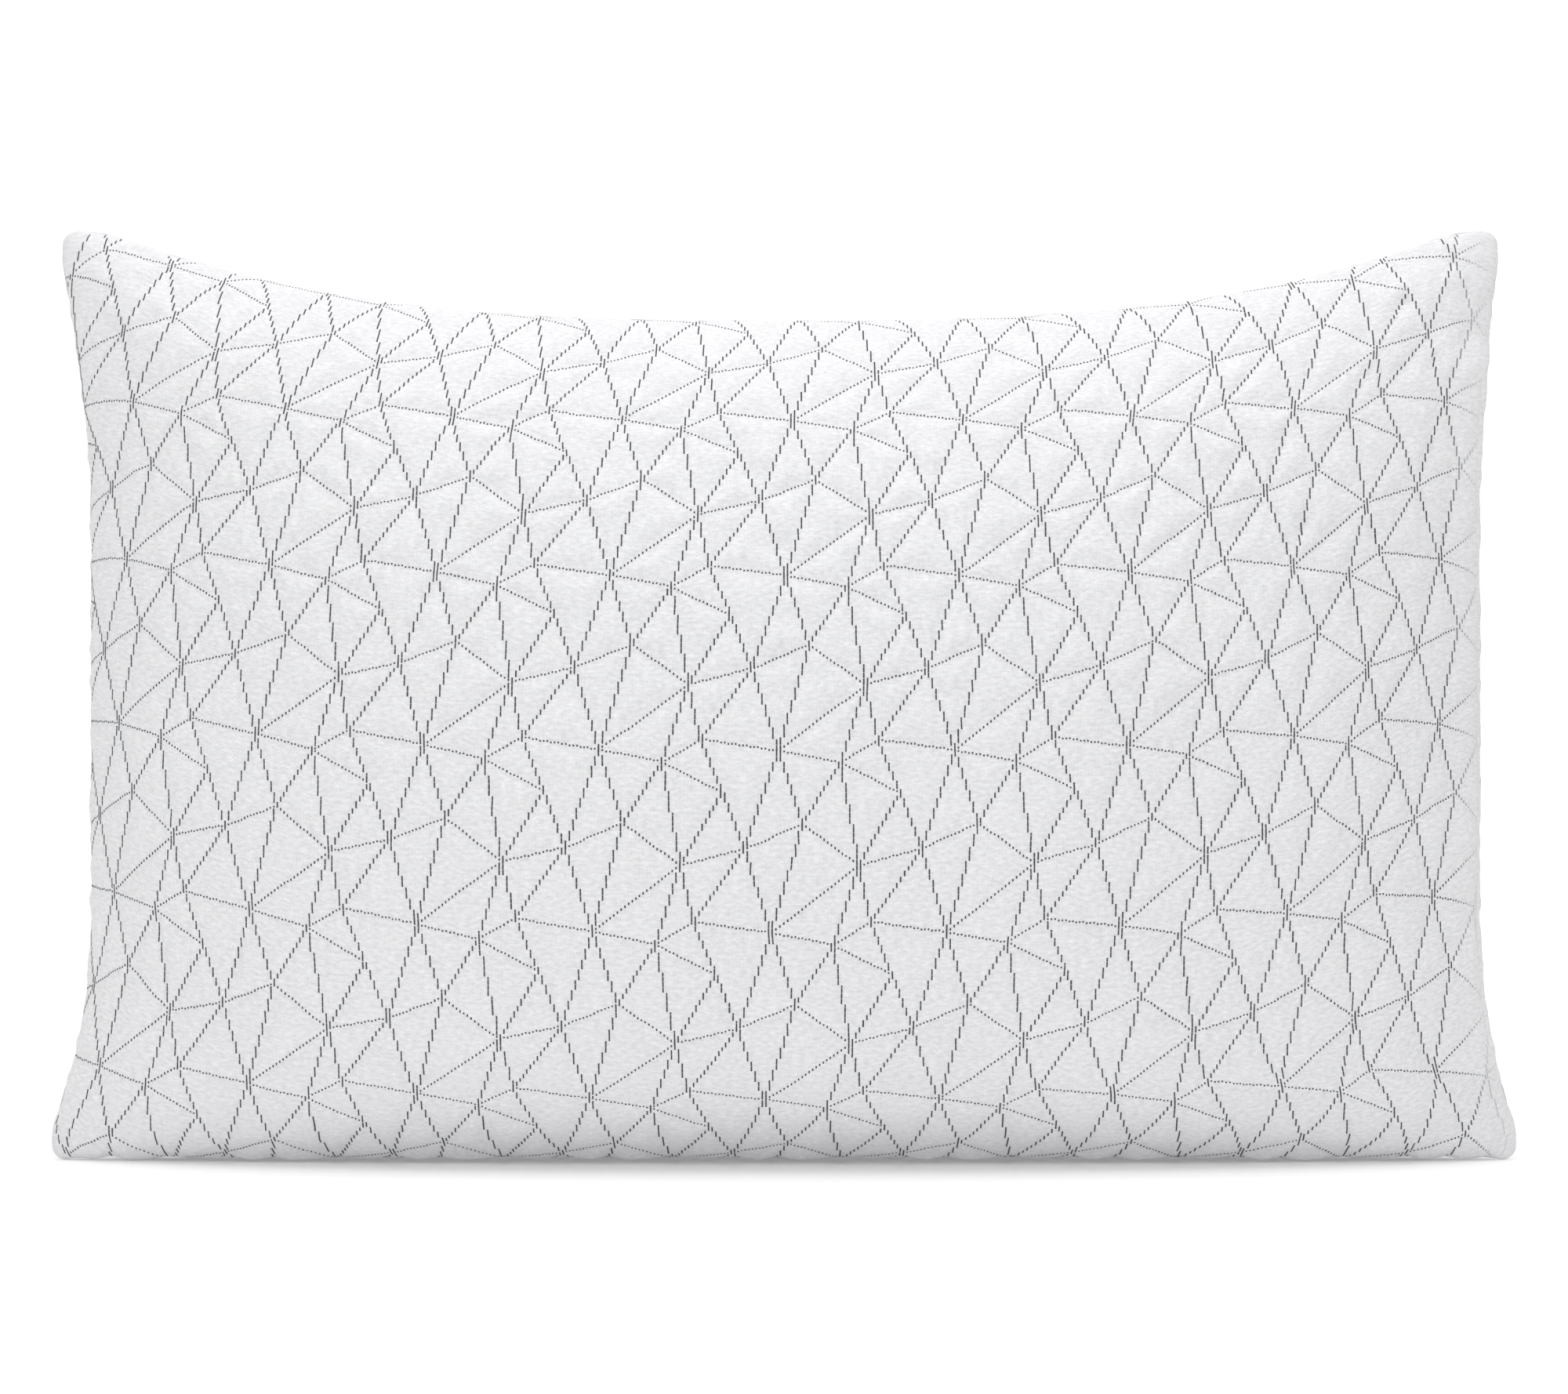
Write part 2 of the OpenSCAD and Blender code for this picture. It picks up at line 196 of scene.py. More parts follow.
def arc_along(points):
    """Length along each row of points."""
    steps = np.linalg.norm(np.diff(points, axis=1), axis=2)
    return np.concatenate((np.zeros((len(points), 1)), np.cumsum(steps, 1)), 1)


across = arc_along(table_form)
middle = across[:, TABLE_STEPS // 2 : TABLE_STEPS // 2 + 1]
right_half = (across - middle) / (across[:, -1:] - middle)
across = np.where(across < middle, across / middle - 1, right_half)
upward = arc_along(table_form.transpose(1, 0, 2))
upward = upward / upward[:, -1:]
u_of = np.array([np.interp(even_steps, row, even_steps) for row in across])
v_of = np.array([np.interp((even_steps + 1) / 2, row, even_steps) for row in upward]).T


def place(s, t):
    """u and v of the points s along and t up the cut panel."""
    s, t = np.broadcast_arrays(s, t)
    column = (s / (CUT_LENGTH / 2) + 1) / 2 * TABLE_STEPS
    row = t / CUT_HEIGHT * TABLE_STEPS
    a = column
    for _ in range(12):
        b = (bilinear(v_of, row, a) + 1) / 2 * TABLE_STEPS
        a = (bilinear(u_of, b, column) + 1) / 2 * TABLE_STEPS
    return np.sin(np.pi / 2 * (2 * a / TABLE_STEPS - 1)), 2 * b / TABLE_STEPS - 1


# ---- Cloth simulation of the stuffed cover ----

CLOTH_ACROSS = 80
CLOTH_UP = 54
CLOTH_FRAMES = 24
CLOTH_CAP = 9 * MM
CLOTH_ROUGH = 0.5 * MM
SEWN_BELOW = 0.6 * MM
cloth_s = np.linspace(-CUT_LENGTH / 2, CUT_LENGTH / 2, CLOTH_ACROSS + 1)
cloth_t = np.linspace(0, CUT_HEIGHT, CLOTH_UP + 1)


def grid_faces(rows, columns):
    """Quads of a grid that face towards +Y when its columns run along +X and its rows up."""
    index = np.arange(rows * columns).reshape(rows, columns)
    a, b = index[:-1, :-1], index[:-1, 1:]
    d, e = index[1:, :-1], index[1:, 1:]
    return np.stack((a, d, e, b), -1).reshape(-1, 4)


def settled_cloth():
    """How far pressure from the filling moves the two flat-cut panels, as shifts of the back and
    the front on the coarse grid, mirrored for the front."""
    u, v = place(cloth_s[None], cloth_t[:, None])
    start = form(COVER_OUTER, COVER_SLIT, u, v)
    rows, columns = u.shape
    count = rows * columns
    edge = np.zeros((rows, columns), bool)
    edge[0], edge[-1], edge[:, 0], edge[:, -1] = True, True, True, True
    sewn = (edge & (start[..., 1] < SEWN_BELOW)).ravel()
    back = start.reshape(-1, 3).copy()
    back[:, 1] += rng.normal(0, CLOTH_ROUGH, count) * ~edge.ravel()
    front = start.reshape(-1, 3) * (1, -1, 1)
    front[:, 1] += rng.normal(0, CLOTH_ROUGH, count) * ~edge.ravel()
    back[sewn, 1] = 0
    front_index = np.arange(count)
    front_index[~sewn] = count + np.arange((~sewn).sum())
    faces = grid_faces(rows, columns)
    front_faces = front_index[faces][:, ::-1]
    points = np.concatenate((back, front[~sewn]))
    flat = np.stack(np.broadcast_arrays(cloth_s[None], 0.0, cloth_t[:, None]), -1).reshape(-1, 3)
    flat = np.concatenate((flat, flat[~sewn]))
    mesh = bpy.data.meshes.new("cloth_work")
    mesh.from_pydata(points.tolist(), [], np.concatenate((faces, front_faces)).tolist())
    work = bpy.data.objects.new("cloth_work", mesh)
    bpy.context.scene.collection.objects.link(work)
    work.shape_key_add(name="Basis")
    cut = work.shape_key_add(name="cut")
    cut.data.foreach_set("co", flat.ravel())
    cut.value = 0
    held = work.vertex_groups.new(name="held")
    pinned = np.flatnonzero(edge.ravel())
    pinned = np.union1d(pinned, front_index[pinned])
    held.add([int(i) for i in pinned], 1, "REPLACE")
    settings = work.modifiers.new("Cloth", "CLOTH").settings
    settings.quality = 6
    settings.mass = 0.25
    settings.tension_stiffness = 18
    settings.compression_stiffness = 12
    settings.shear_stiffness = 8
    settings.bending_stiffness = 1.2
    settings.tension_damping = 8
    settings.compression_damping = 8
    settings.air_damping = 3
    settings.use_pressure = True
    settings.uniform_pressure_force = 4
    settings.vertex_group_mass = "held"
    settings.rest_shape_key = cut
    settings.effector_weights.gravity = 0
    for number in range(1, CLOTH_FRAMES + 1):
        bpy.context.scene.frame_set(number)
    done = work.evaluated_get(bpy.context.evaluated_depsgraph_get())
    moved = np.empty(len(points) * 3, np.float32)
    done.data.vertices.foreach_get("co", moved)
    moved = moved.reshape(-1, 3).astype(float)
    bpy.context.scene.frame_set(1)
    bpy.data.objects.remove(work)
    start = start.reshape(-1, 3)
    shifts = []
    for side, chosen in ((1, np.arange(count)), (-1, front_index)):
        shift = moved[chosen] * (1, side, 1) - start
        shift[sewn, 1] = 0
        far = np.linalg.norm(shift, axis=1, keepdims=True)
        shift *= CLOTH_CAP * np.tanh(far / CLOTH_CAP) / np.maximum(far, 1e-9)
        shifts.append(shift.reshape(rows, columns, 3))
    return shifts


def eased(x):
    """x from 0 to 1 with a soft start and end."""
    x = np.clip(x, 0, 1)
    return x * x * (3 - 2 * x)


ZIP_ZONE = 30 * MM
ZIP_HELD = 0.3
SEAM_ZONE = 40 * MM
SEAM_FREE = 0.15


def seam_distance(s, t):
    """Distance on the cut cloth to the nearest seam."""
    return np.minimum(CUT_LENGTH / 2 - np.abs(s), np.minimum(t, CUT_HEIGHT - t))


cloth_shifts = settled_cloth()
cloth_u, cloth_v = place(cloth_s[None], cloth_t[:, None])
cloth_z = form(COVER_OUTER, COVER_SLIT, cloth_u, cloth_v)[..., 2]
from_zip = eased((CUT_LENGTH / 2 - cloth_s[None]) / ZIP_ZONE - ZIP_HELD)
from_seam = eased(seam_distance(cloth_s[None], cloth_t[:, None]) / SEAM_ZONE + SEAM_FREE)
let_move = from_seam * (1 - slit_share(cloth_z, *COVER_SLIT[1:]) * (1 - from_zip))
cloth_shifts = [shift * let_move[..., None] for shift in cloth_shifts]


def cubic_weights(at, count):
    """Rows of Catmull-Rom weights over count points, for the fractional places at."""
    at = np.clip(at, 0, count - 1.000001)
    first = at.astype(int)
    f = at - first
    parts = (
        (-f + 2 * f**2 - f**3) / 2,
        (2 - 5 * f**2 + 3 * f**3) / 2,
        (f + 4 * f**2 - 3 * f**3) / 2,
        (-(f**2) + f**3) / 2,
    )
    weights = np.zeros((len(at), count))
    for offset, part in enumerate(parts):
        np.add.at(weights, (np.arange(len(at)), np.clip(first + offset - 1, 0, count - 1)), part)
    return weights


def shift_at(side, s, t):
    """The simulated shift on the grid of the lines s and t. side is 0 at the back, 1 in front."""
    along = cubic_weights((s / CUT_LENGTH + 0.5) * CLOTH_ACROSS, CLOTH_ACROSS + 1)
    up = cubic_weights(t / CUT_HEIGHT * CLOTH_UP, CLOTH_UP + 1)
    return np.einsum("ri,ijk,cj->rck", up, cloth_shifts[side], along)


# ---- The line pattern, which is knitted in and quilts the cover ----

CELL_ACROSS = 86.2 * MM
CELL_DOWN = 90 * MM
CELL_DRIFT = -3.5 * MM
# Where a node n lies on the back and on the front panel, along and up the pattern's plane
ORIGINS = [np.array((31, 236)) * MM, np.array((-2.7, 253.9)) * MM]
# The rows droop towards the short sides and crowd together above a share of the height, and the
# pattern leans over near the top of one side
ROW_DROOP = 23 * MM
ROW_CROWD = 49 * MM
ROW_LEVEL = 0.615
TOP_LEAN = 22 * MM
LEAN_FROM = 0.81
LEAN_OVER = 0.16
PATTERN_NODES = {
    "n": (0.0, 0.0),
    "m": (0.354, 0.066),
    "c": (0.562, -0.060),
    "g": (0.700, 0.231),
    "f": (0.151, 0.402),
    "e": (-0.167, 0.540),
    "d": (0.481, 0.629),
}
# Each line joins two nodes, the second one that many cells across and down
PATTERN_LINES = [
    ("n", "m", 0, 0),
    ("m", "c", 0, 0),
    ("c", "n", 1, 0),
    ("m", "g", 0, 0),
    ("e", "f", 0, 0),
    ("f", "d", 0, 0),
    ("d", "e", 1, 0),
    ("d", "n", 0, 1),
    ("c", "e", 1, -1),
    ("c", "g", 0, 0),
    ("m", "f", 0, 0),
    ("m", "d", 0, 0),
    ("g", "d", 0, 0),
    ("g", "e", 1, 0),
    ("n", "e", 0, 0),
    ("n", "f", 0, 0),
    ("d", "c", 0, 1),
    ("d", "m", 0, 1),
    ("e", "n", 0, 1),
    ("f", "n", 0, 1),
]


def cell_point(name, across_cells, down_cells):
    """A node in the panel's own plane, from the pattern's origin, along and up."""
    a = PATTERN_NODES[name][0] + across_cells
    b = PATTERN_NODES[name][1] + down_cells
    return np.array((a * CELL_ACROSS + b * CELL_DRIFT, -b * CELL_DOWN))


def on_pattern(s, t):
    """The place on the pattern's plane of the cloth at s and t."""
    height = t / CUT_HEIGHT
    end = s / (CUT_LENGTH / 2)
    climb = ROW_DROOP * end**4 + ROW_CROWD * height * (height - ROW_LEVEL)
    lean = TOP_LEAN * np.maximum(0, -end) * np.clip((height - LEAN_FROM) / LEAN_OVER, 0, 1)
    return s - lean, t + climb


def on_cloth(s, t):
    """The cloth's s and t at a place on the pattern's plane."""
    a, b = s, t
    for _ in range(8):
        p, q = on_pattern(a, b)
        a, b = a + s - p, b + t - q
    return a, b


def line_distance(points):
    """Distance of points, relative to the pattern's origin, to the nearest line."""
    down = -points[:, 1] / CELL_DOWN
    right = (points[:, 0] - down * CELL_DRIFT) / CELL_ACROSS
    whole = np.stack((np.floor(right), np.floor(down)), -1)
    shift = whole[:, :1] * np.array((CELL_ACROSS, 0)) + whole[:, 1:] * np.array(
        (CELL_DRIFT, -CELL_DOWN)
    )
    local = points - shift
    nearest = np.full(len(points), 1.0)
    for first, second, over, under in PATTERN_LINES:
        for i in range(-2, 3):
            for j in range(-1, 2):
                p = cell_point(first, i, j)
                line = cell_point(second, i + over, j + under) - p
                off = local - p
                f = np.clip(off @ line / (line @ line), 0, 1)
                gap = off - f[:, None] * line
                nearest = np.minimum(nearest, np.hypot(gap[:, 0], gap[:, 1]))
    return nearest


# ---- Meshes ----


def add_mesh(name, points, faces, flat=None, smooth=True, sharp=None):
    """A new object. flat gives each point's place on the cut cloth, kept as the UV map "flat"."""
    mesh = bpy.data.meshes.new(name)
    mesh.from_pydata(np.asarray(points).tolist(), [], [list(f) for f in faces])
    if flat is not None:
        corners = np.empty(len(mesh.loops), np.int32)
        mesh.loops.foreach_get("vertex_index", corners)
        layer = mesh.uv_layers.new(name="flat")
        layer.data.foreach_set("uv", np.asarray(flat, np.float32)[corners].ravel())
    if smooth:
        mesh.polygons.foreach_set("use_smooth", np.ones(len(mesh.polygons), bool))
    if sharp:
        mesh.set_sharp_from_angle(angle=np.radians(sharp))
    mesh.update()
    obj = bpy.data.objects.new(name, mesh)
    bpy.context.scene.collection.objects.link(obj)
    return obj


def rim_loop(rows, columns, offset):
    """Points round the edge of a grid, in order."""
    index = np.arange(rows * columns).reshape(rows, columns) + offset
    return np.concatenate((index[0, :-1], index[:-1, -1], index[-1, :0:-1], index[:0:-1, 0]))


def triangles(rows, columns):
    """The grid's quads, each cut in two."""
    quads = grid_faces(rows, columns)
    return np.concatenate((quads[:, (0, 1, 2)], quads[:, (0, 2, 3)]))


def rim_triangles(loop, raw):
    """Triangles that join the outer rim to the inner one. A row of loop is the outer rim's points
    that go with one point of raw, the inner rim."""
    step = loop.shape[1]
    ends = np.roll(loop[:, 0], -1)
    following = np.roll(raw, -1)
    if step == 1:
        lower = np.stack((loop[:, 0], ends, following), -1)
        upper = np.stack((loop[:, 0], following, raw), -1)
        return [lower, upper]
    rim = []
    for k in range(step):
        second = loop[:, k + 1] if k + 1 < step else ends
        third = raw if k < step // 2 else following
        rim.append(np.stack((loop[:, k], second, third), -1))
    rim.append(np.stack((raw, loop[:, step // 2], following), -1))
    return rim


def shell(outer, inner, step):
    """Closed solid between the grid outer and the grid inner, which has every step-th line."""
    rows, columns = outer.shape[:2]
    inner_rows, inner_columns = inner.shape[:2]
    offset = rows * columns
    loop = rim_loop(rows, columns, 0).reshape(-1, step)
    raw = rim_loop(inner_rows, inner_columns, offset)
    inner_faces = triangles(inner_rows, inner_columns)[:, ::-1] + offset
    faces = np.concatenate([triangles(rows, columns), inner_faces] + rim_triangles(loop, raw))
    return np.concatenate((outer.reshape(-1, 3), inner.reshape(-1, 3))), faces


def normals(grid):
    """Unit normals of a grid, towards +Y for the back half."""
    along = np.gradient(grid, axis=1)
    up = np.gradient(grid, axis=0)
    n = np.cross(up, along)
    return n / np.maximum(np.linalg.norm(n, axis=2, keepdims=True), 1e-12)


def lines_between(half, count, fine):
    """count steps from -half to half, a share fine of the middle step's width at the ends."""
    at = (np.arange(count) + 0.5) / count * 2 - 1
    near = (1 - np.abs(at)) * count / 2
    widths = fine + (1 - fine) * eased(near / FINE_STEPS)
    edges = np.concatenate(((0,), np.cumsum(widths)))
    return (edges / edges[-1] * 2 - 1) * half


FINE_ACROSS = 360
FINE_UP = 240
FINE_SHARE = 0.35
FINE_STEPS = 9
INNER_STEP = 6
CREASE_DEPTH = 2.9 * MM
CREASE_WIDTH = 5.0 * MM
CREASE_ROUND = 0.9 * MM
SINK_MOST = 3.3 * MM
CORNER_SMOOTH = 28 * MM
CLOTH_LEFT = 1.2 * MM
CORNER_IN = 2.2 * MM
SEAM_DEPTH = 1.8 * MM
SEAM_WIDTH = 2.6 * MM
EDGE_FADE = 6 * MM
EDGE_CREASE = 0.25
SINK_LEAST = 0.2 * MM
TOPSTITCH_IN = 9 * MM
TOPSTITCH_DEPTH = 1.0 * MM
TOPSTITCH_WIDTH = 2 * MM
PUCKER = 0.9 * MM
PUCKER_REACH = 9 * MM
PUCKER_PITCH = 13 * MM
NOISE_KNOTS = 400
NOISE_START = 150

fine_s = lines_between(CUT_LENGTH / 2, FINE_ACROSS, FINE_SHARE)
fine_t = lines_between(CUT_HEIGHT / 2, FINE_UP, FINE_SHARE) + CUT_HEIGHT / 2


def smooth_noise(values, pitch, seed):
    """Smooth noise along values, about -1 to 1."""
    knots = np.random.default_rng(seed).uniform(-1, 1, NOISE_KNOTS)
    at = np.asarray(values) / pitch + NOISE_START
    first = np.floor(at).astype(int)
    f = eased(at - first)
    return knots[first % NOISE_KNOTS] * (1 - f) + knots[(first + 1) % NOISE_KNOTS] * f


def cover_outside(side):
    """The quilted outer surface of one cover panel, as for the back half."""
    u, v = place(fine_s[None], fine_t[:, None])
    smooth = form(COVER_OUTER, COVER_SLIT, u, v) + shift_at(side, fine_s, fine_t)
    out = normals(smooth)
    s, t = np.broadcast_arrays(fine_s[None], fine_t[:, None])
    mirror = 1 if side == 1 else -1
    flat = np.stack(on_pattern(s * mirror, t), -1).reshape(-1, 2) - ORIGINS[side]
    gap = line_distance(flat).reshape(s.shape)
    crease = np.exp(-(np.hypot(gap, CREASE_ROUND) - CREASE_ROUND) / CREASE_WIDTH)
    ends = CUT_LENGTH / 2 - np.abs(s)
    floor_or_top = np.minimum(t, CUT_HEIGHT - t)
    edge = np.minimum(ends, floor_or_top)
    sink = CREASE_DEPTH * crease * eased(edge / EDGE_FADE + EDGE_CREASE)
    sink = sink + SEAM_DEPTH * np.exp(-((edge / SEAM_WIDTH) ** 2))
    wave = smooth_noise(t, PUCKER_PITCH / 2, 5 + side)
    sink = sink + PUCKER * wave * np.exp(-ends / PUCKER_REACH)
    wave = smooth_noise(s, PUCKER_PITCH / 2, 9 + side)
    sink = sink + 0.5 * PUCKER * wave * np.exp(-floor_or_top / PUCKER_REACH)
    beside_zip = slit_share(smooth[..., 2], *COVER_SLIT[1:])
    sewn_down = np.exp(-(((CUT_LENGTH / 2 - s - TOPSTITCH_IN) / TOPSTITCH_WIDTH) ** 2))
    sink = sink + TOPSTITCH_DEPTH * beside_zip * sewn_down
    inner = form(COVER_INNER, COVER_SLIT, u, v) + shift_at(side, fine_s, fine_t)
    most = np.clip(np.sum((smooth - inner) * out, -1) - CLOTH_LEFT, SINK_LEAST, SINK_MOST)
    off_corner = eased((ends + floor_or_top) / CORNER_SMOOTH)
    sink = most * np.tanh(sink / most) * off_corner
    surface = smooth - out * sink[..., None]
    surface[..., 0] -= np.sign(s) * CORNER_IN * (1 - off_corner)
    surface[..., 2] -= np.where(t > CUT_HEIGHT / 2, CORNER_IN, 0) * (1 - off_corner)
    surface[..., 2] = np.maximum(surface[..., 2], 0)
    surface[..., 1] = np.maximum(surface[..., 1], SEAM_GAP / 2)
    return surface


def turned(points, faces, side):
    """The same solid on the front side, mirrored, where side is 1."""
    if side == 0:
        return points, faces
    return points * (1, -1, 1), faces[:, ::-1]


SIDE_NAMES = ("back", "front")
outsides = [cover_outside(side) for side in (0, 1)]
insides = []
for side in (0, 1):
    inner_s = fine_s[::INNER_STEP]
    inner_t = fine_t[::INNER_STEP]
    u, v = place(inner_s[None], inner_t[:, None])
    inside = form(COVER_INNER, COVER_SLIT, u, v) + shift_at(side, inner_s, inner_t)
    inside[..., 2] = np.maximum(inside[..., 2], COVER_INNER[2])
    inside[..., 1] = np.maximum(inside[..., 1], SEAM_GAP / 2)
    insides.append(inside)
    points, faces = turned(*shell(outsides[side], inside, INNER_STEP), side)
    mirror = 1 if side == 1 else -1
    flat = [
        np.stack(np.broadcast_arrays(a[None] * mirror, b[:, None]), -1).reshape(-1, 2)
        for a, b in ((fine_s, fine_t), (inner_s, inner_t))
    ]
    cover = add_mesh(f"quilted_{SIDE_NAMES[side]}", points, faces, np.concatenate(flat), sharp=65)
    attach(cover, "pillow")
    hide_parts(f"cover_{SIDE_NAMES[side]}")
    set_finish(cover, "knit_cover")


def on_cover(side, s, t):
    """Points on the quilted surface and its normals there, at s and t of the back half's grid."""
    grid = outsides[side]
    c = np.clip(np.searchsorted(fine_s, s) - 1, 0, FINE_ACROSS - 1)
    r = np.clip(np.searchsorted(fine_t, t) - 1, 0, FINE_UP - 1)
    x = (s - fine_s[c]) / (fine_s[c + 1] - fine_s[c])
    y = (t - fine_t[r]) / (fine_t[r + 1] - fine_t[r])
    a, b = grid[r, c], grid[r, c + 1]
    d, e = grid[r + 1, c], grid[r + 1, c + 1]
    x, y = x[..., None], y[..., None]
    lower = a + x * (b - a) + y * (e - b)
    upper = a + y * (d - a) + x * (e - d)
    n = outside_normals[side][r, c]
    return np.where(x > y, lower, upper), n


outside_normals = [normals(grid) for grid in outsides]

# ---- The grey stitches of the pattern ----

WALE = 1.78 * MM
COURSE = 0.7 * MM
LONGEST_FLOAT = 4
STITCH_WIDE = 0.9 * MM
DOT_TALL = 1.05 * MM
DOT_WIDE = 0.95 * MM
STITCH_PROUD = 0.16 * MM
STITCH_SUNK = 0.25 * MM
STITCH_BEVEL = 0.12 * MM
STITCH_GAP = 0.02 * MM
DOT_BELOW = 1.5
CELLS_ACROSS = range(-7, 8)
CELLS_DOWN = range(-5, 6)
EDGE_MARGIN = 2 * MM
CORNER_MARGIN = 14 * MM
ZIP_MARGIN = 8 * MM
ZIP_PALE = 30 * MM


def pattern_runs(side):
    """Runs of grey stitches on the knit's grid: wale number, first and last course."""
    runs = set()
    origin = ORIGINS[side]
    for i in CELLS_ACROSS:
        for j in CELLS_DOWN:
            for first, second, over, under in PATTERN_LINES:
                p = origin + cell_point(first, i, j)
                q = origin + cell_point(second, i + over, j + under)
                if p[0] > q[0]:
                    p, q = q, p
                wales = np.arange(np.ceil(p[0] / WALE - 0.25), np.floor(q[0] / WALE + 0.25) + 1)
                if not len(wales):
                    continue
                slope = (q[1] - p[1]) / max(q[0] - p[0], 1e-6)
                left = np.maximum(wales * WALE - WALE / 2, p[0])
                right = np.minimum(wales * WALE + WALE / 2, q[0])
                ends = np.stack((p[1] + slope * (left - p[0]), p[1] + slope * (right - p[0])))
                low = np.round(ends.min(0) / COURSE).astype(int)
                high = np.maximum(np.round(ends.max(0) / COURSE).astype(int), low + 1)
                for wale, start, end in zip(wales.astype(int), low, high):
                    for course in range(start, end, LONGEST_FLOAT):
                        runs.add((int(wale), course, min(course + LONGEST_FLOAT, int(end))))
    return np.array(sorted(runs))


def raised_runs(side, centre_s, centre_t, wide, tall, proud, laid):
    """Small raised bars on the cover, as points, faces and places on the cut cloth. laid turns the
    place where a corner is drawn into s and t of the back half's grid."""
    corners = np.array(((-1, -1), (1, -1), (1, 1), (-1, 1)))
    parts = []
    for bevel, height in ((0, -STITCH_SUNK), (STITCH_BEVEL, proud)):
        s = centre_s[:, None] + corners[:, 0] * (wide[:, None] / 2 - bevel * np.sign(wide[:, None]))
        t = centre_t[:, None] + corners[:, 1] * (tall[:, None] / 2 - bevel)
        s, t = laid(s, t)
        point, out = on_cover(side, s, t)
        parts.append((point + out * height, np.stack((s, t), -1)))
    points = np.concatenate([p for p, _ in parts], 1).reshape(-1, 3)
    flat = np.concatenate([f for _, f in parts], 1).reshape(-1, 2)
    box = np.array(
        ((0, 1, 2, 3), (7, 6, 5, 4), (0, 4, 5, 1), (1, 5, 6, 2), (2, 6, 7, 3), (3, 7, 4, 0))
    )
    faces = (np.arange(len(centre_s)) * 8)[:, None, None] + box
    return points, faces.reshape(-1, 4), flat


for side in (0, 1):
    mirror = 1 if side == 1 else -1
    runs = pattern_runs(side)
    drawn_s = runs[:, 0] * WALE
    drawn_t = (runs[:, 1] + runs[:, 2]) / 2 * COURSE
    s, t = on_cloth(drawn_s, drawn_t)
    s = s * mirror
    tall = (runs[:, 2] - runs[:, 1]) * COURSE
    inside = (np.abs(s) < CUT_LENGTH / 2 - EDGE_MARGIN) & (t - tall / 2 > EDGE_MARGIN)
    inside &= t + tall / 2 < CUT_HEIGHT - EDGE_MARGIN
    to_end = CUT_LENGTH / 2 - np.abs(s)
    inside &= to_end + np.minimum(t, CUT_HEIGHT - t) > CORNER_MARGIN
    inside &= CUT_LENGTH / 2 - s > ZIP_MARGIN
    drawn_s, drawn_t, tall = drawn_s[inside], drawn_t[inside], tall[inside]
    dots = tall < DOT_BELOW * COURSE
    wide = np.where(dots, DOT_WIDE, STITCH_WIDE) * mirror
    tall = np.where(dots, DOT_TALL, tall - STITCH_GAP)

    def drawn(across, up):
        a, b = on_cloth(across, up)
        return a * mirror, b

    points, faces, flat = raised_runs(side, drawn_s, drawn_t, wide, tall, STITCH_PROUD, drawn)
    points, faces = turned(points, faces, side)
    pattern = add_mesh(f"pattern_{SIDE_NAMES[side]}", points, faces, flat, smooth=False)
    pattern.data.polygons.foreach_set("material_index", np.repeat(dots, 6).astype(np.int32))
    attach(pattern, "pillow")
    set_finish(pattern, "pattern_thread")


# ---- Sewing along the zip ----

SEWING_STITCH = 3 * MM
SEWING_WIDE = 0.55 * MM
SEWING_PROUD = 0.2 * MM
SEWING_FILL = 0.8

for side in (0, 1):
    low, high = COVER_SLIT[1] - SLIT_ROOM, COVER_SLIT[2] + SLIT_ABOVE
    column = np.searchsorted(fine_s, CUT_LENGTH / 2 - TOPSTITCH_IN)
    ends = np.interp((low, high), outsides[side][:, column, 2], fine_t)
    t = np.arange(ends[0], ends[1], SEWING_STITCH)
    s = np.full(len(t), CUT_LENGTH / 2 - TOPSTITCH_IN)
    wide = np.full(len(t), SEWING_WIDE)
    tall = np.full(len(t), SEWING_STITCH * SEWING_FILL)
    points, faces, flat = raised_runs(side, s, t, wide, tall, SEWING_PROUD, lambda a, b: (a, b))
    points, faces = turned(points, faces, side)
    sewing = add_mesh(f"zip_topstitch_{SIDE_NAMES[side]}", points, faces, flat, smooth=False)
    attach(sewing, "pillow")
    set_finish(sewing, "seam_thread")

# ---- The cover zip's tapes, which run on into the closed ends of the slit ----

TAPE_THICK = 0.8 * MM
TAPE_EDGE = 1.5 * MM
TAPE_CLOSED = 0.3 * MM
TAPE_LEAST = 1 * MM
TAPE_REACH = 15 * MM
TAPE_CLEAR = 1.2 * MM
TAPE_STEP = 1.5 * MM
TAPE_CLOSING = 12 * MM
TAPE_COLUMNS = 12
TAPE_RECESS = 3 * MM

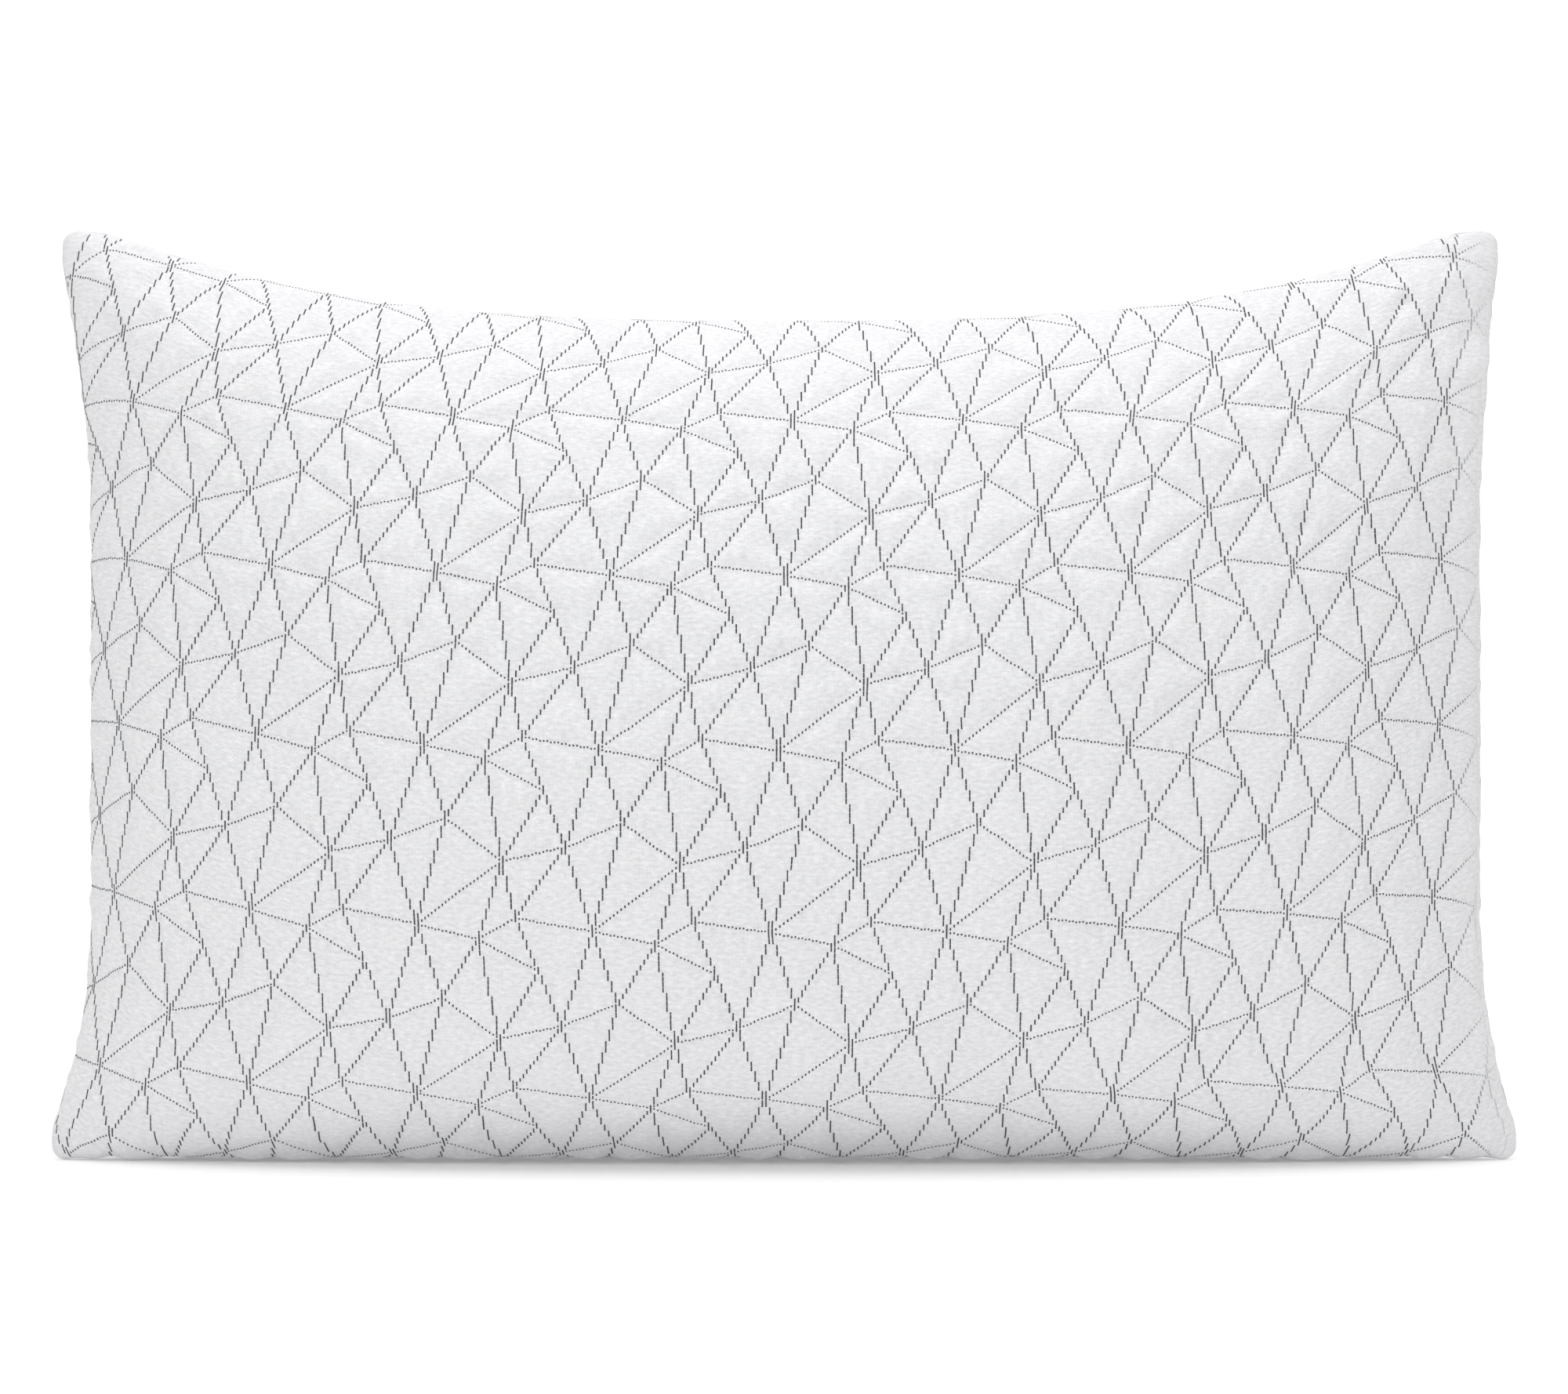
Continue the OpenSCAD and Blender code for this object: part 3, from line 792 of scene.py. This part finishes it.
teeth_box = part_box("zip_teeth_back")
zip_x = (teeth_box[0][0] + teeth_box[1][0]) / 2
slit_ends = (COVER_SLIT[1] - SLIT_ROOM - SLIT_FADE, COVER_SLIT[2] + SLIT_ABOVE + SLIT_FADE)
tape_z = np.arange(slit_ends[0], slit_ends[1], TAPE_STEP)
beyond = np.maximum(COVER_SLIT[1] - tape_z, tape_z - COVER_SLIT[2])
tape_inner = TAPE_EDGE + (TAPE_CLOSED - TAPE_EDGE) * eased(beyond / TAPE_CLOSING)
tape_x = zip_x - TAPE_RECESS * (1 - slit_share(tape_z, *COVER_SLIT[1:]))
for side in (0, 1):
    grid = insides[side]
    wall_y = np.array([np.interp(zip_x + TAPE_THICK, row[:, 0], row[:, 1]) for row in grid])
    wall_z = np.array([np.interp(zip_x + TAPE_THICK, row[:, 0], row[:, 2]) for row in grid])
    reach = np.minimum(TAPE_REACH, np.interp(tape_z, wall_z, wall_y) - TAPE_CLEAR)
    reach = np.maximum(reach, tape_inner + TAPE_LEAST)
    share = np.linspace(1, 0, TAPE_COLUMNS)
    y = tape_inner[:, None] + (reach - tape_inner)[:, None] * share
    if side == 1:
        y = -y[:, ::-1]
    thin = TAPE_THICK / 2 * (1 - 0.6 * np.abs(2 * share - 1) ** 12)
    faces_x = [tape_x[:, None] + sign * thin[None] for sign in (1, -1)]
    layers = [np.stack(np.broadcast_arrays(x, y, tape_z[:, None]), -1) for x in faces_x]
    points, faces = shell(layers[0], layers[1], 1)
    tape = add_mesh(f"woven_tape_{SIDE_NAMES[side]}", points, faces, sharp=50)
    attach(tape, "pillow")
    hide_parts(f"zip_tape_{SIDE_NAMES[side]}")
    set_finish(tape, "zip_tape")

# ---- Inner case ----

CASE_STEP = 3
CASE_RUMPLE = 0.9 * MM
RUMPLE_PITCH = 16 * MM
CASE_HELD = 20 * MM


def soft_layer(side, inset, slit, s, t):
    """A smooth layer inside the cover, as for the back half, on the lines s and t."""
    u, v = place(s[None], t[:, None])
    layer = form(inset, slit, u, v) + shift_at(side, s, t)
    layer[..., 2] = np.maximum(layer[..., 2], inset[2])
    layer[..., 1] = np.maximum(layer[..., 1], SEAM_GAP / 2)
    return layer


def folds(s, t, seed):
    """Soft folds of loose cloth, 0 to 1, on the lines s and t."""
    slant = smooth_noise(t, 5 * RUMPLE_PITCH, seed)[:, None] * 2 * RUMPLE_PITCH
    first = smooth_noise(s[None] + slant, RUMPLE_PITCH, seed + 1)
    slant = smooth_noise(s, 5 * RUMPLE_PITCH, seed + 2)[None] * 2 * RUMPLE_PITCH
    second = smooth_noise(t[:, None] + slant, RUMPLE_PITCH, seed + 3)
    return (first * second + 1) / 2


case_s = fine_s[::CASE_STEP]
case_t = fine_t[::CASE_STEP]
case_room = eased(seam_distance(case_s[None], case_t[:, None]) / CASE_HELD)
for side in (0, 1):
    sink = CASE_RUMPLE * folds(case_s, case_t, 21 + 4 * side) * case_room
    layers = []
    for inset in (LINER_OUTER, LINER_INNER):
        layer = soft_layer(side, inset, LINER_SLIT, case_s, case_t)
        layers.append(layer - normals(layer) * sink[..., None])
        layers[-1][..., 1] = np.maximum(layers[-1][..., 1], SEAM_GAP / 2)
    points, faces = turned(*shell(layers[0], layers[1], 1), side)
    mirror = 1 if side == 1 else -1
    flat = np.stack(np.broadcast_arrays(case_s[None] * mirror, case_t[:, None]), -1).reshape(-1, 2)
    case = add_mesh(
        f"inner_case_{SIDE_NAMES[side]}", points, faces, np.concatenate((flat, flat)), sharp=65
    )
    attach(case, "pillow")
    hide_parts(f"liner_{SIDE_NAMES[side]}")
    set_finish(case, "case_cloth")

# ---- Loose foam ----

LUMP = 13 * MM
LUMP_DEPTH = 6 * MM
LUMP_TABLE = 300
LUMP_START = 100
FOAM_CLEAR = 1.4 * MM
FOAM_HELD = 30 * MM


def lumps(s, t, seed):
    """0 in the middle of each shred of foam and 1 in the gaps between, on the lines s and t."""
    a, b = np.broadcast_arrays(s[None] / LUMP + LUMP_START, t[:, None] / LUMP + LUMP_START)
    jitter = np.random.default_rng(seed).uniform(0.1, 0.9, (LUMP_TABLE, LUMP_TABLE, 2))
    grain = np.random.default_rng(seed + 1).uniform(0, 0.35, (LUMP_TABLE, LUMP_TABLE))
    nearest = np.full(a.shape, 9.0)
    for i in (-1, 0, 1):
        for j in (-1, 0, 1):
            column = np.floor(a).astype(int) + i
            row = np.floor(b).astype(int) + j
            middle_at = jitter[row, column]
            far = np.hypot(a - column - middle_at[..., 0], b - row - middle_at[..., 1])
            nearest = np.minimum(nearest, far + grain[row, column])
    return np.clip(nearest, 0, 1) ** 2


foam_s = fine_s[::2]
foam_t = fine_t[::2]
foam_room = eased(seam_distance(foam_s[None], foam_t[:, None]) / FOAM_HELD)
halves = []
for side in (0, 1):
    layer = soft_layer(side, FILL_OUTER, NO_SLIT, foam_s, foam_t)
    sink = (FOAM_CLEAR + LUMP_DEPTH * lumps(foam_s, foam_t, 31 + 2 * side)) * foam_room
    half = layer - normals(layer) * sink[..., None]
    half[..., 1] = np.maximum(half[..., 1], SEAM_GAP / 2)
    halves.append(half)
points, faces = shell(halves[0], halves[1] * (1, -1, 1), 1)
foam = add_mesh("shredded_foam", points, faces, smooth=True)
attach(foam, "pillow")
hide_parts("foam_fill")
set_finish(foam, "foam")

# ---- Stitched seam allowances ----

OVERLOCK_PITCH = 3.2 * MM
OVERLOCK_RIDGE = 0.28
OVERLOCK_FROM = 0.3
SEAM_STEP = 1.6 * MM
SEAM_PINCH = 0.1 * MM
PLY_SHARES = (0, 0.15, 0.35, 0.6, 0.8, 0.93)
RAW_EDGE = (1.0, 0.35 * SEAM_THICK)


def seam_places(slit, spacing):
    """u and v of points along the seam, from below the slit round the other edges to above it."""
    low = slit[1] - SLIT_ROOM - SLIT_FADE
    high = slit[2] + SLIT_ABOVE + SLIT_FADE
    low_v = np.arcsin((low - BELLY_HEIGHT) / BELLY_HEIGHT) / (np.pi / 2)
    high_v = np.arcsin((high - BELLY_HEIGHT) / (HEIGHT - BELLY_HEIGHT)) / (np.pi / 2)
    u = np.sin(np.pi / 2 * np.linspace(-1, 1, int(LENGTH / spacing)))
    v = np.linspace(-1, 1, int(HEIGHT / spacing))
    near = v[(v > -1) & (v < low_v)]
    above = v[(v > high_v) & (v < 1)]
    us = np.concatenate((np.ones(len(near)), -u, np.full(len(v) - 2, -1.0), u, np.ones(len(above))))
    vs = np.concatenate((near[::-1], np.full(len(u), -1.0), v[1:-1], np.ones(len(u)), above[::-1]))
    return us, vs


def seam_allowance(name, seam_inset, raw_inset, slit):
    """Two plies of fabric, pinched at the seam, with overlocking thread round the raw edge."""
    u, v = seam_places(slit, SEAM_STEP)
    seam = form(seam_inset, NO_SLIT, u, v)
    raw = form(raw_inset, NO_SLIT, u, v)
    steps = np.linalg.norm(np.diff(seam[:, (0, 2)], axis=0), axis=1)
    along = np.concatenate(((0,), np.cumsum(steps)))
    reach = (raw - seam)[:, (0, 2)]
    loops = 0.5 + 0.5 * np.sin(2 * np.pi * along / OVERLOCK_PITCH)
    swell = SEAM_THICK / 2 - SEAM_PINCH
    section = [(share, SEAM_PINCH + swell * share**0.5) for share in PLY_SHARES]
    section.append(RAW_EDGE)
    rings = []
    for face in (1, -1):
        chosen = section if face == 1 else section[::-1]
        for share, thick in chosen:
            ridged = 1 - OVERLOCK_RIDGE + OVERLOCK_RIDGE * loops
            ridge = ridged if share > OVERLOCK_FROM else 1.0
            place_at = seam[:, (0, 2)] + reach * share
            y = np.full(len(u), face * thick) * ridge
            rings.append(np.stack((place_at[:, 0], y, place_at[:, 1]), -1))
    grid = np.stack(rings, 1)
    count, sides = grid.shape[:2]
    index = np.arange(count * sides).reshape(count, sides)
    nxt = np.roll(index, -1, axis=1)
    skin = np.stack((index[:-1], nxt[:-1], nxt[1:], index[1:]), -1).reshape(-1, 4)
    faces = [tuple(f) for f in skin] + [tuple(index[0][::-1]), tuple(index[-1])]
    piece = add_mesh(name, grid.reshape(-1, 3), faces, sharp=50)
    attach(piece, "pillow")
    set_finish(piece, "seam_thread")
    return piece


cover_allowance = seam_allowance("cover_seam_allowance", *COVER_SEAM, COVER_SLIT)
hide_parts("cover_seam")
case_allowance = seam_allowance("case_seam_allowance", *LINER_SEAM, LINER_SLIT)
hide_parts("liner_seam")

# ---- Care label ----

LABEL_WIDE = 40 * MM
LABEL_REACH = 52 * MM
LABEL_THICK = 0.35 * MM
LABEL_LIFT = 0.5 * MM
LABEL_CURL = 3.5 * MM
LABEL_SEAM = 2.5 * MM
LABEL_TUCK = 0.3 * MM
LABEL_WAVE = 90
LABEL_WAVE_SHARE = 0.4
LABEL_ROWS = 41
LABEL_COLUMNS = 53
HEM = 3 * MM
HEM_RAISE = 0.12 * MM
HEM_WIDE = 0.6 * MM

label_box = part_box("care_label")
label_height = (label_box[0][2] + label_box[1][2]) / 2
level = np.interp(label_height, outsides[0][:, INNER_STEP, 2], fine_t)
label_s = np.linspace(LABEL_SEAM, LABEL_SEAM + LABEL_REACH, LABEL_COLUMNS) - CUT_LENGTH / 2
label_t = np.linspace(level - LABEL_WIDE / 2, level + LABEL_WIDE / 2, LABEL_ROWS)
u, v = place(label_s[None], label_t[:, None])
smooth_bed = form(COVER_OUTER, COVER_SLIT, u, v) + shift_at(0, label_s, label_t)
out = normals(smooth_bed)
out_along = (label_s - label_s[0])[None] / LABEL_REACH
at_seam = on_cover(0, *np.broadcast_arrays(label_s[None], label_t[:, None]))[0]
bed = at_seam + (smooth_bed - at_seam) * eased(out_along * 5)[..., None]
off_middle = label_t[:, None] - level
hem = np.minimum(LABEL_WIDE / 2 - np.abs(off_middle), label_s[-1] - label_s[None])
wave = 1 - LABEL_WAVE_SHARE + LABEL_WAVE_SHARE * np.cos(off_middle * LABEL_WAVE)
lift = LABEL_LIFT + LABEL_CURL * eased(out_along) ** 2 * wave
lift = lift + HEM_RAISE * np.exp(-(((hem - HEM) / HEM_WIDE) ** 2))
lift = lift * eased(out_along * 9) - LABEL_TUCK * (1 - eased(out_along * 12))
over = bed + out * (lift + LABEL_THICK)[..., None]
under = bed + out * lift[..., None]
points, faces = shell(over, under, 1)
flat = np.stack(np.broadcast_arrays(-label_s[None], label_t[:, None]), -1).reshape(-1, 2)
label = add_mesh("satin_label", points, faces, np.concatenate((flat, flat)), sharp=60)
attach(label, "pillow")
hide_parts("care_label")
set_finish(label, "label_cloth")


# ---- Materials ----


def material(name, roughness, **sockets):
    """A new material's node tree and its shader, with uniform values set on the shader."""
    made = bpy.data.materials.new(name)
    made.use_nodes = True
    tree = made.node_tree
    shader = next(n for n in tree.nodes if n.type == "BSDF_PRINCIPLED")
    shader.inputs["Roughness"].default_value = roughness
    for key, value in sockets.items():
        shader.inputs[key.replace("_", " ")].default_value = value
    return made, tree, shader


def node(tree, kind, inputs=(), **settings):
    """A new node. inputs maps a socket to a value or to another node's output."""
    made = tree.nodes.new("ShaderNode" + kind)
    for key, value in settings.items():
        setattr(made, key, value)
    for key, value in dict(inputs).items():
        if isinstance(value, bpy.types.NodeSocket):
            tree.links.new(value, made.inputs[key])
        else:
            made.inputs[key].default_value = value
    return made


def maths(tree, operation, *values):
    """The output of a Math node."""
    made = node(tree, "Math", dict(enumerate(values)), operation=operation)
    return made.outputs[0]


def ripple(tree, value, pitch):
    """0 to 1 and back once in every pitch of value."""
    turn = maths(tree, "SINE", maths(tree, "MULTIPLY", value, 2 * np.pi / pitch))
    return maths(tree, "MULTIPLY_ADD", turn, 0.5, 0.5)


def mixed_tones(tree, share, dark, light):
    made = node(tree, "Mix", {0: share, 6: (*dark, 1), 7: (*light, 1)}, data_type="RGBA")
    return made.outputs[2]


def two_tone(tree, shader, share, dark, light):
    tree.links.new(mixed_tones(tree, share, dark, light), shader.inputs["Base Color"])


def contrasted(tree, value, gain):
    """A noise value spread further to both sides of its middle."""
    return maths(tree, "MULTIPLY_ADD", value, gain, 0.5 - gain / 2)


def bump(tree, shader, height, strength, distance):
    made = node(tree, "Bump", {"Strength": strength, "Distance": distance, "Height": height})
    tree.links.new(made.outputs[0], shader.inputs["Normal"])


def noise_of(tree, vector, scale, detail=2.0):
    made = node(tree, "TexNoise", {"Vector": vector, "Scale": scale, "Detail": detail})
    return made.outputs[0]


def cut_cloth_place(tree):
    """Place on the cut cloth: the vector, and its two parts."""
    at = node(tree, "UVMap", uv_map="flat").outputs[0]
    parts = node(tree, "SeparateXYZ", {0: at})
    return at, parts.outputs[0], parts.outputs[1]


def object_place(tree):
    at = node(tree, "TexCoord").outputs["Object"]
    parts = node(tree, "SeparateXYZ", {0: at})
    return at, parts.outputs[0], parts.outputs[1], parts.outputs[2]


# Contrast of the fuzz and grain in the knit's colour, which is partly uneven tone and partly painted
# shade in the small hollows.
GRAIN_AND_SHADE_GAIN = 3.4
PALE_THREAD = (0.72, 0.72, 0.74)


def knit_look(name, dark, light, strength):
    """Fine double knit: rows of small stitches in upright wales, with a soft uneven grain. The colour
    is darker where the bump sinks, between the stitch rows and in the low spots of the fuzz and grain:
    painted shade in the knit's small hollows, over the knit's own uneven tone.
    """
    made, tree, shader = material(name, 0.92, Sheen_Weight=0.18, Sheen_Roughness=0.5)
    at, along, up = cut_cloth_place(tree)
    courses = ripple(tree, up, COURSE)
    wales = ripple(tree, along, WALE)
    fuzz = noise_of(tree, at, 1100, 3.0)
    streaked = node(tree, "Mapping", {0: at, 3: (0.45, 1.0, 1.0)}).outputs[0]
    grain = noise_of(tree, streaked, 620, 2.0)
    height = maths(tree, "MULTIPLY_ADD", wales, 0.5, courses)
    height = maths(tree, "MULTIPLY_ADD", fuzz, 0.9, height)
    height = maths(tree, "MULTIPLY_ADD", grain, 2.2, height)
    broad = maths(tree, "MULTIPLY", noise_of(tree, at, 14), 0.2)
    # Broad noise is the knit's own uneven tone. The course ripple on top darkens the colour in the
    # valleys between the stitch rows, which is painted shade.
    share = maths(tree, "MULTIPLY_ADD", courses, 0.1, broad)
    # The fuzz and grain in the colour are partly the knit's uneven tone and partly painted shade,
    # darker where they sink the bump.
    share = maths(tree, "MULTIPLY_ADD", contrasted(tree, fuzz, GRAIN_AND_SHADE_GAIN), 0.25, share)
    share = maths(tree, "MULTIPLY_ADD", contrasted(tree, grain, GRAIN_AND_SHADE_GAIN), 0.45, share)
    two_tone(tree, shader, share, dark, light)
    bump(tree, shader, height, strength, 0.16 * MM)
    return made


def thread_look(name, dark, light):
    """Grey thread, which sinks paler and paler into the cloth towards the zip."""
    made, tree, shader = material(name, 0.8)
    at, along, up = cut_cloth_place(tree)
    gaps = ripple(tree, maths(tree, "ADD", up, COURSE / 2 * 0.5), COURSE)
    share = maths(tree, "MULTIPLY_ADD", noise_of(tree, at, 300), 0.5, gaps)
    thread = mixed_tones(tree, maths(tree, "MULTIPLY", share, 0.8), dark, light)
    pale_start = CUT_LENGTH / 2 - ZIP_PALE
    near_zip = maths(tree, "SUBTRACT", along, pale_start)
    near_zip = maths(tree, "DIVIDE", near_zip, ZIP_PALE - ZIP_MARGIN)
    pale = node(tree, "Clamp", {0: near_zip}).outputs[0]
    shown = node(tree, "Mix", {0: pale, 6: thread, 7: (*PALE_THREAD, 1)}, data_type="RGBA")
    tree.links.new(shown.outputs[2], shader.inputs["Base Color"])
    return made


def woven_look(name, dark, light, pitch, strength, roughness=0.85):
    """Plain weave on the object's own coordinates."""
    made, tree, shader = material(name, roughness)
    at, x, y, z = object_place(tree)
    ribs = ripple(tree, z, pitch)
    cross = ripple(tree, maths(tree, "ADD", y, maths(tree, "MULTIPLY", x, 0.7)), pitch)
    over = maths(tree, "MULTIPLY", ribs, cross)
    weave = maths(tree, "MULTIPLY", over, 0.4)
    share = maths(tree, "MULTIPLY_ADD", noise_of(tree, at, 60), 0.6, weave)
    two_tone(tree, shader, share, dark, light)
    bump(tree, shader, over, strength, pitch / 4)
    return made


def plastic_look():
    made, tree, shader = material("zip_tooth_plastic", 0.42)
    at = object_place(tree)[0]
    grain = noise_of(tree, at, 700)
    two_tone(tree, shader, grain, (0.70, 0.69, 0.66), (0.78, 0.77, 0.74))
    bump(tree, shader, grain, 0.15, 0.1 * MM)
    return made


def metal_look():
    made, tree, shader = material("zip_nickel", 0.28, Metallic=1.0)
    at = object_place(tree)[0]
    stretched = node(tree, "Mapping", {0: at, 3: (1.0, 1.0, 0.08)}).outputs[0]
    brushed = noise_of(tree, stretched, 2600, 3.0)
    two_tone(tree, shader, noise_of(tree, at, 90), (0.60, 0.60, 0.61), (0.72, 0.72, 0.73))
    rough = maths(tree, "MULTIPLY_ADD", brushed, 0.2, 0.2)
    tree.links.new(rough, shader.inputs["Roughness"])
    bump(tree, shader, brushed, 0.12, 0.05 * MM)
    return made


def foam_look():
    made, tree, shader = material("shredded_foam", 0.95)
    at = object_place(tree)[0]
    cells = node(tree, "TexVoronoi", {"Vector": at, "Scale": 85.0})
    tint = node(tree, "SeparateColor", {0: cells.outputs["Color"]}).outputs[0]
    two_tone(tree, shader, tint, (0.58, 0.72, 0.80), (0.86, 0.88, 0.88))
    pores = noise_of(tree, at, 1400)
    bump(tree, shader, pores, 0.5, 0.4 * MM)
    return made


LOOKS = {
    "knit_cover": knit_look("white_double_knit", (0.74, 0.74, 0.76), (0.97, 0.97, 0.98), 0.8),
    "pattern_thread": thread_look("grey_pattern_thread", (0.018, 0.018, 0.022), (0.11, 0.11, 0.12)),
    "case_cloth": woven_look(
        "plain_case_cloth", (0.76, 0.77, 0.79), (0.84, 0.85, 0.86), 0.5 * MM, 0.3
    ),
    "seam_thread": woven_look("white_thread", (0.74, 0.74, 0.72), (0.84, 0.84, 0.82), 0.4 * MM, 0.3),
    "zip_tape": woven_look("woven_zip_tape", (0.68, 0.67, 0.64), (0.80, 0.79, 0.76), 0.7 * MM, 0.6),
    "zip_teeth": plastic_look(),
    "zip_metal": metal_look(),
    "label_cloth": woven_look(
        "satin_label", (0.80, 0.80, 0.78), (0.88, 0.88, 0.86), 0.3 * MM, 0.2, 0.45
    ),
    "foam": foam_look(),
}

for part in frame["record"]["subparts"]:
    shown = frame["nodes"][part["node"]]
    shown.data.materials.clear()
    shown.data.materials.append(LOOKS[part["material_slot"]])
for piece in bpy.data.objects:
    if piece.type == "MESH" and "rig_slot" in piece:
        piece.data.materials.clear()
        piece.data.materials.append(LOOKS[piece["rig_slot"]])
single_stitches = thread_look("dark_single_stitches", (0.006, 0.006, 0.008), (0.03, 0.03, 0.034))
for name in SIDE_NAMES:
    bpy.data.objects[f"pattern_{name}"].data.materials.append(single_stitches)

# ---- Floor, light and camera ----

CAMERA_DISTANCE = 2.21
STAGE_REACH = 6.0
SWEEP_START = 3.0
SWEEP_RADIUS = 0.8
SWEEP_STEPS = 12
WALL_TOP = 5.0
WALL_GLOW = 0.35
FLOOR_GLOW = 0.12
GLOW_FULL = 1.6
GLOW_SOFT = 0.3
WORLD_GLOW = 0.46
SILHOUETTE_WIDTH = 0.939
CAMERA_DROP = 1.6 * MM
SENSOR_WIDTH = 36
LIGHTS_AIM = (0, 0, 0.2)
lowest, highest = Vector(cad_box[0]), Vector(cad_box[1])
centre = (lowest + highest) / 2

floor_line = [(-STAGE_REACH, 0.0), (SWEEP_START, 0.0)]
for step in range(1, SWEEP_STEPS + 1):
    turn = np.pi / 2 * step / SWEEP_STEPS
    sweep = (SWEEP_START + SWEEP_RADIUS * np.sin(turn), SWEEP_RADIUS * (1 - np.cos(turn)))
    floor_line.append(sweep)
floor_line.append((SWEEP_START + SWEEP_RADIUS, WALL_TOP))
floor_points = [(x, y, z) for y, z in floor_line for x in (-STAGE_REACH, STAGE_REACH)]
floor_faces = [(2 * i, 2 * i + 1, 2 * i + 3, 2 * i + 2) for i in range(len(floor_line) - 1)]
backdrop = add_mesh("backdrop", floor_points, floor_faces)
floor_material, floor_tree, floor_shader = material("pale_backdrop", 0.9)
floor_shader.inputs["Base Color"].default_value = (0.93, 0.93, 0.93, 1)
floor_shader.inputs["Emission Color"].default_value = (1, 1, 1, 1)
behind = object_place(floor_tree)[2]
rise = maths(floor_tree, "SMOOTH_MIN", maths(floor_tree, "MAXIMUM", behind, 0.0), GLOW_FULL, GLOW_SOFT)
glow = maths(floor_tree, "MULTIPLY_ADD", rise, WALL_GLOW / GLOW_FULL, FLOOR_GLOW)
floor_tree.links.new(glow, floor_shader.inputs["Emission Strength"])
backdrop.data.materials.append(floor_material)

world = bpy.data.worlds.new("studio")
bpy.context.scene.world = world
world.use_nodes = True
world.node_tree.nodes["Background"].inputs[0].default_value = (1, 1, 1, 1)
world.node_tree.nodes["Background"].inputs[1].default_value = WORLD_GLOW


def soft_light(name, place_at, wide, tall, power):
    """A rectangular lamp that faces the middle of the pillow."""
    lamp = bpy.data.lights.new(name, "AREA")
    lamp.shape = "RECTANGLE"
    lamp.size = wide
    lamp.size_y = tall
    lamp.energy = power
    made = bpy.data.objects.new(name, lamp)
    bpy.context.scene.collection.objects.link(made)
    made.location = place_at
    direction = Vector(LIGHTS_AIM) - Vector(place_at)
    made.rotation_euler = direction.to_track_quat("-Z", "Y").to_euler()


soft_light("top_light", (0, -0.3, 2.3), 2.6, 1.6, 35)
soft_light("front_light", (-0.5, -2.6, 1.6), 1.8, 1.2, 13)
bpy.context.scene.view_settings.view_transform = "Standard"

camera = bpy.data.cameras.new("camera")
camera.sensor_width = SENSOR_WIDTH
camera.lens = SENSOR_WIDTH * CAMERA_DISTANCE / ((highest.x - lowest.x) / SILHOUETTE_WIDTH)
camera_object = bpy.data.objects.new("camera", camera)
bpy.context.scene.collection.objects.link(camera_object)
camera_object.location = (centre.x, -CAMERA_DISTANCE, centre.z - CAMERA_DROP)
camera_object.rotation_euler = (np.pi / 2, 0, 0)
bpy.context.scene.camera = camera_object

bpy.context.view_layer.update()
